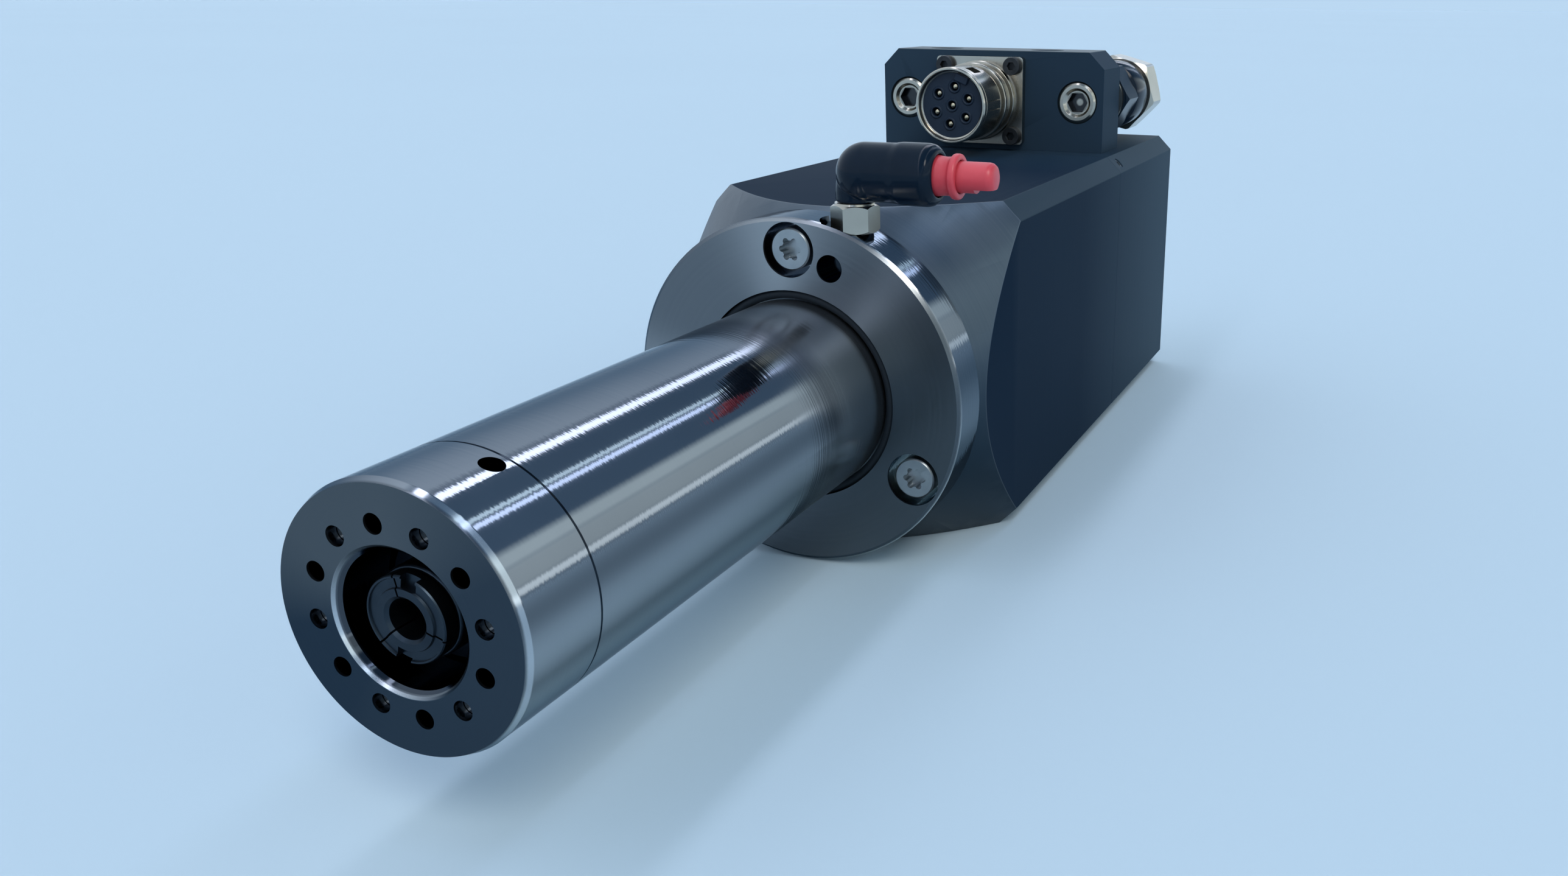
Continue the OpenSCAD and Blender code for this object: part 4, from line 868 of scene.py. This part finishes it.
def stem_plug():
    """Red blanking plug with a rounded end and a flat cut on its lower side."""
    e = ARM_END
    stem = turned_piece(ARM_PLACE, "+X",
                        [(0, e - 13.7), (2.55, e - 13.7), (2.95, e - 13.1), (2.95, e + 9.9), (2.8, e + 10.6),
                         (2.4, e + 11.1), (1.8, e + 11.35), (0, e + 11.35)])
    notch = box_piece((e + 7.5, ELBOW[1] - 6, ARM_Z - 8), (e + 14, ELBOW[1] + 6, ARM_Z - 2.05))
    cut(stem, notch)
    softened(stem, 0.22, segments=3, angle=35)
    return finished(stem, "stem_plug", "plug", "plug_red", "blanking_plug")


def hose_sleeve():
    """Dark sleeve behind the block: chamfered hexagon, narrow waist and rounded grip."""
    low = BLOCK_BACK + 1.6
    high = low + 27
    outline = [(0, low), (9.3, low), (10.15, low + 0.9), (10.15, low + 11.0), (9.3, low + 12.0),
               (0, low + 12.0)]
    blank = turned_piece(HOSE_PLACE, "+Y", outline)
    hexagon = prism_piece(HOSE_PLACE, "+Y", 17.6, low - 1, low + 14)
    cut(hexagon, blank, "INTERSECT")
    grip = turned_piece(HOSE_PLACE, "+Y",
                        [(0, low + 11.5), (8.6, low + 11.5), (8.6, low + 12.6), (9.4, low + 13.2),
                         (9.8, low + 14.2), (9.8, high - 3.4), (9.5, high - 1.6), (8.8, high - 0.05),
                         (0, high - 0.05)])
    both = cut(hexagon, grip, "UNION")
    bore = turned_piece(HOSE_PLACE, "+Y",
                        [(0, low - 1), (5.33, low - 1), (5.33, high + 1), (0, high + 1)], steps=64)
    cut(both, bore)
    softened(both, 0.18, segments=2, angle=22)
    return finished(both, "hose_sleeve", "root", "dark_sleeve", "hose_fitting_sleeve")


def collet_detail():
    """Collet with a stepped collar: fine slits, two key notches and a chamfered bore."""
    face = COLLET_FACE
    body = turned_piece((0, 0, 0), "+Y",
                        [(0, face), (4.5, face), (4.65, face + 0.3), (5.9, face + 0.3), (6.0, face + 0.05),
                         (6.25, face + 0.05), (6.4, face + 0.25), (6.4, face + 2.1), (5.8, face + 2.1),
                         (5.8, face + 2.6), (4.5, face + 14.6), (4.5, face + 34.1), (0, face + 34.1)])
    bore = turned_piece((0, 0, 0), "+Y",
                        [(0, face - 1), (3.45, face - 1), (3.45, face), (3.0, face + 0.45),
                         (3.0, face + 22), (1.0, face + 22), (1.0, face + 26), (2.6, face + 26),
                         (2.6, face + 35), (0, face + 35)])
    cut(body, bore)
    for turn in (20, 140, 260):
        slit = box_piece((0, face - 1, -0.14), (8, face + 20, 0.14))
        slit.matrix_world = placed((0, 0, 0), turn)
        cut(body, slit)
    for turn in (-77, 103):
        notch = box_piece((4.5, face - 1, -1.2), (8, face + 1.2, 1.2))
        notch.matrix_world = placed((0, 0, 0), turn)
        cut(body, notch)
    softened(body, 0.08, segments=2, angle=30)
    return finished(body, "collet_detail", "drawbar_unit", "shaft_steel", "collet")


def union_nut():
    """Nickel union nut: chamfered hexagon with a rounded collar behind and the hose mouth."""
    low = BLOCK_BACK + 28.9
    high = low + 17
    outline = [(0, low), (10.0, low), (11.3, low + 1.0), (11.3, high - 6.4), (10.3, high - 5.4),
               (0, high - 5.4)]
    blank = turned_piece(HOSE_PLACE, "+Y", outline)
    hexagon = prism_piece(HOSE_PLACE, "+Y", 20, low - 1, high, turn=15)
    cut(hexagon, blank, "INTERSECT")
    collar = turned_piece(HOSE_PLACE, "+Y",
                          [(0, high - 6), (9.2, high - 6), (9.2, high - 2.0), (8.7, high - 0.7),
                           (7.6, high), (0, high)])
    both = cut(hexagon, collar, "UNION")
    bore = turned_piece(HOSE_PLACE, "+Y",
                        [(0, low - 1), (5.35, low - 1), (5.35, high - 1.5), (4.3, high - 1.5),
                         (4.3, high - 0.5), (4.8, high + 0.2), (0, high + 0.2)], steps=64)
    cut(both, bore)
    softened(both, 0.16, segments=2, angle=22)
    return finished(both, "union_nut_detail", "union_nut", "nickel", "hose_union_nut")


def edged_nodes():
    """CAD shapes that only need their edges lightly broken."""
    for node, body, slot, width in (
            ("main_housing", "root", "anodised_dark", 0.3),
            ("rear_cover", "root", "anodised_dark", 0.25),
            ("connector_block", "root", "anodised_dark", 0.3),
            ("flange_screws", "root", "screw_steel", 0.14),
            ("air_plugs", "root", "nickel", 0.3),
            ("spindle_shaft", "shaft", "shaft_steel", 0.12),
            ("power_connector_screws", "root", "black_screws", 0.2),
            ("block_screws", "root", "black_screws", 0.2),
            ("rear_cover_screws", "root", "black_screws", 0.25),
    ):
        softened_node(node, body, slot, width)


# The pale blue behind the part.
PALE = (0.50, 0.69, 0.89)


def studio_sky(tree):
    """Pale at the horizon and behind the part. Higher up, ceiling lights and dark bays run along Y."""
    place = tree.nodes.new("ShaderNodeTexCoord")
    split = tree.nodes.new("ShaderNodeSeparateXYZ")
    tree.links.new(place.outputs["Generated"], split.inputs[0])
    side, up = Wire(tree, split.outputs[0]), Wire(tree, split.outputs[2])
    angle = up.math("ARCTAN2", side) * (180 / math.pi)
    bays = (0.13, 0.22, 0.34)
    # Each band's edges in degrees round Y, the softness of its edges and its colour.
    lights = (
        (4, 10, 2, (1.7, 1.9, 2.0)),
        (10, 27, 4, (0.75, 0.88, 0.94)),
        (27, 40, 6, (0.95, 1.12, 1.18)),
        (65.2, 69.3, 1.2, (2.3, 2.7, 3.6)),
        (71.5, 75, 1.2, (1.6, 2.0, 2.3)),
        (100.5, 108, 2, (4.0, 4.2, 4.9)),
        (112, 190, 8, (0.78, 0.92, 1.08)),
    )
    colour = bays
    for low, high, soft, light in lights:
        colour = mixed(tree, colour, light, between(angle, low, high, soft))
    seen = Wire(tree, tree.nodes.new("ShaderNodeLightPath").outputs["Is Camera Ray"])
    above_horizon = ((up - 0.012) * 25.0).clamped()
    sky = tree.nodes.new("ShaderNodeBackground")
    plug(tree, sky.inputs[0], mixed(tree, PALE, colour, above_horizon * (1 - seen)))
    out = tree.nodes.new("ShaderNodeOutputWorld")
    tree.links.new(sky.outputs[0], out.inputs[0])


def studio():
    """Pale floor, the studio's sky and a soft sun from the front right."""
    f = Finish("pale_floor")
    cloud = f.noise(0.8, 2.0)
    colour = f.mix((0.437, 0.550, 0.632), (0.455, 0.572, 0.652), cloud)
    floor_material = f.surface(Base_Color=colour, Roughness=0.9, Specular_IOR_Level=0.1)
    bpy.ops.mesh.primitive_plane_add(size=60.0, location=(0, 0, -HALF_W))
    floor = bpy.context.active_object
    floor.name = "floor"
    floor.data.materials.append(floor_material)

    world = bpy.data.worlds.new("studio")
    bpy.context.scene.world = world
    world.use_nodes = True
    world.node_tree.nodes.clear()
    studio_sky(world.node_tree)

    sun = bpy.data.lights.new("soft_sun", "SUN")
    sun.energy = 1.25
    sun.color = (1.0, 0.96, 0.88)
    sun.angle = math.radians(22)
    lamp = bpy.data.objects.new("soft_sun", sun)
    bpy.context.scene.collection.objects.link(lamp)
    lamp.rotation_euler = Vector((-0.50, 0.55, -0.8)).to_track_quat("-Z", "Y").to_euler()


PHOTO_WIDTH = 2576
PHOTO_HEIGHT = 1439
FOCAL_PIXELS = 2077.84
CENTRE_X = 1639.2
CENTRE_Y = 733.4
CAMERA_PLACE = Vector((0.12120, -0.22020, 0.07667))
CAMERA_RIGHT = Vector((0.94289, 0.33299, 0.00851))
CAMERA_VIEW = Vector((-0.31142, 0.89029, -0.33226))


def camera():
    data = bpy.data.cameras.new("camera")
    data.sensor_width = 36.0
    data.lens = FOCAL_PIXELS / PHOTO_WIDTH * data.sensor_width
    data.shift_x = (PHOTO_WIDTH / 2 - CENTRE_X) / PHOTO_WIDTH
    data.shift_y = (CENTRE_Y - PHOTO_HEIGHT / 2) / PHOTO_WIDTH
    data.clip_start = 0.01
    seat = bpy.data.objects.new("camera", data)
    bpy.context.scene.collection.objects.link(seat)
    view = CAMERA_VIEW.normalized()
    right = (CAMERA_RIGHT - view * CAMERA_RIGHT.dot(view)).normalized()
    up = right.cross(view)
    seat.matrix_world = Matrix.Translation(CAMERA_PLACE) @ Matrix((right, up, -view)).transposed().to_4x4()
    bpy.context.scene.camera = seat


dress_nodes()
connector_shell()
coding_key()
insert_rings()
contact_pins()
elbow_hexagon()
elbow_moulding()
release_collar()
stem_plug()
hose_sleeve()
union_nut()
collet_detail()
edged_nodes()
compressed_springs("disc_springs", "shaft")
compressed_springs("return_springs", "root")
studio()
camera()
bpy.context.scene.view_settings.view_transform = "Standard"
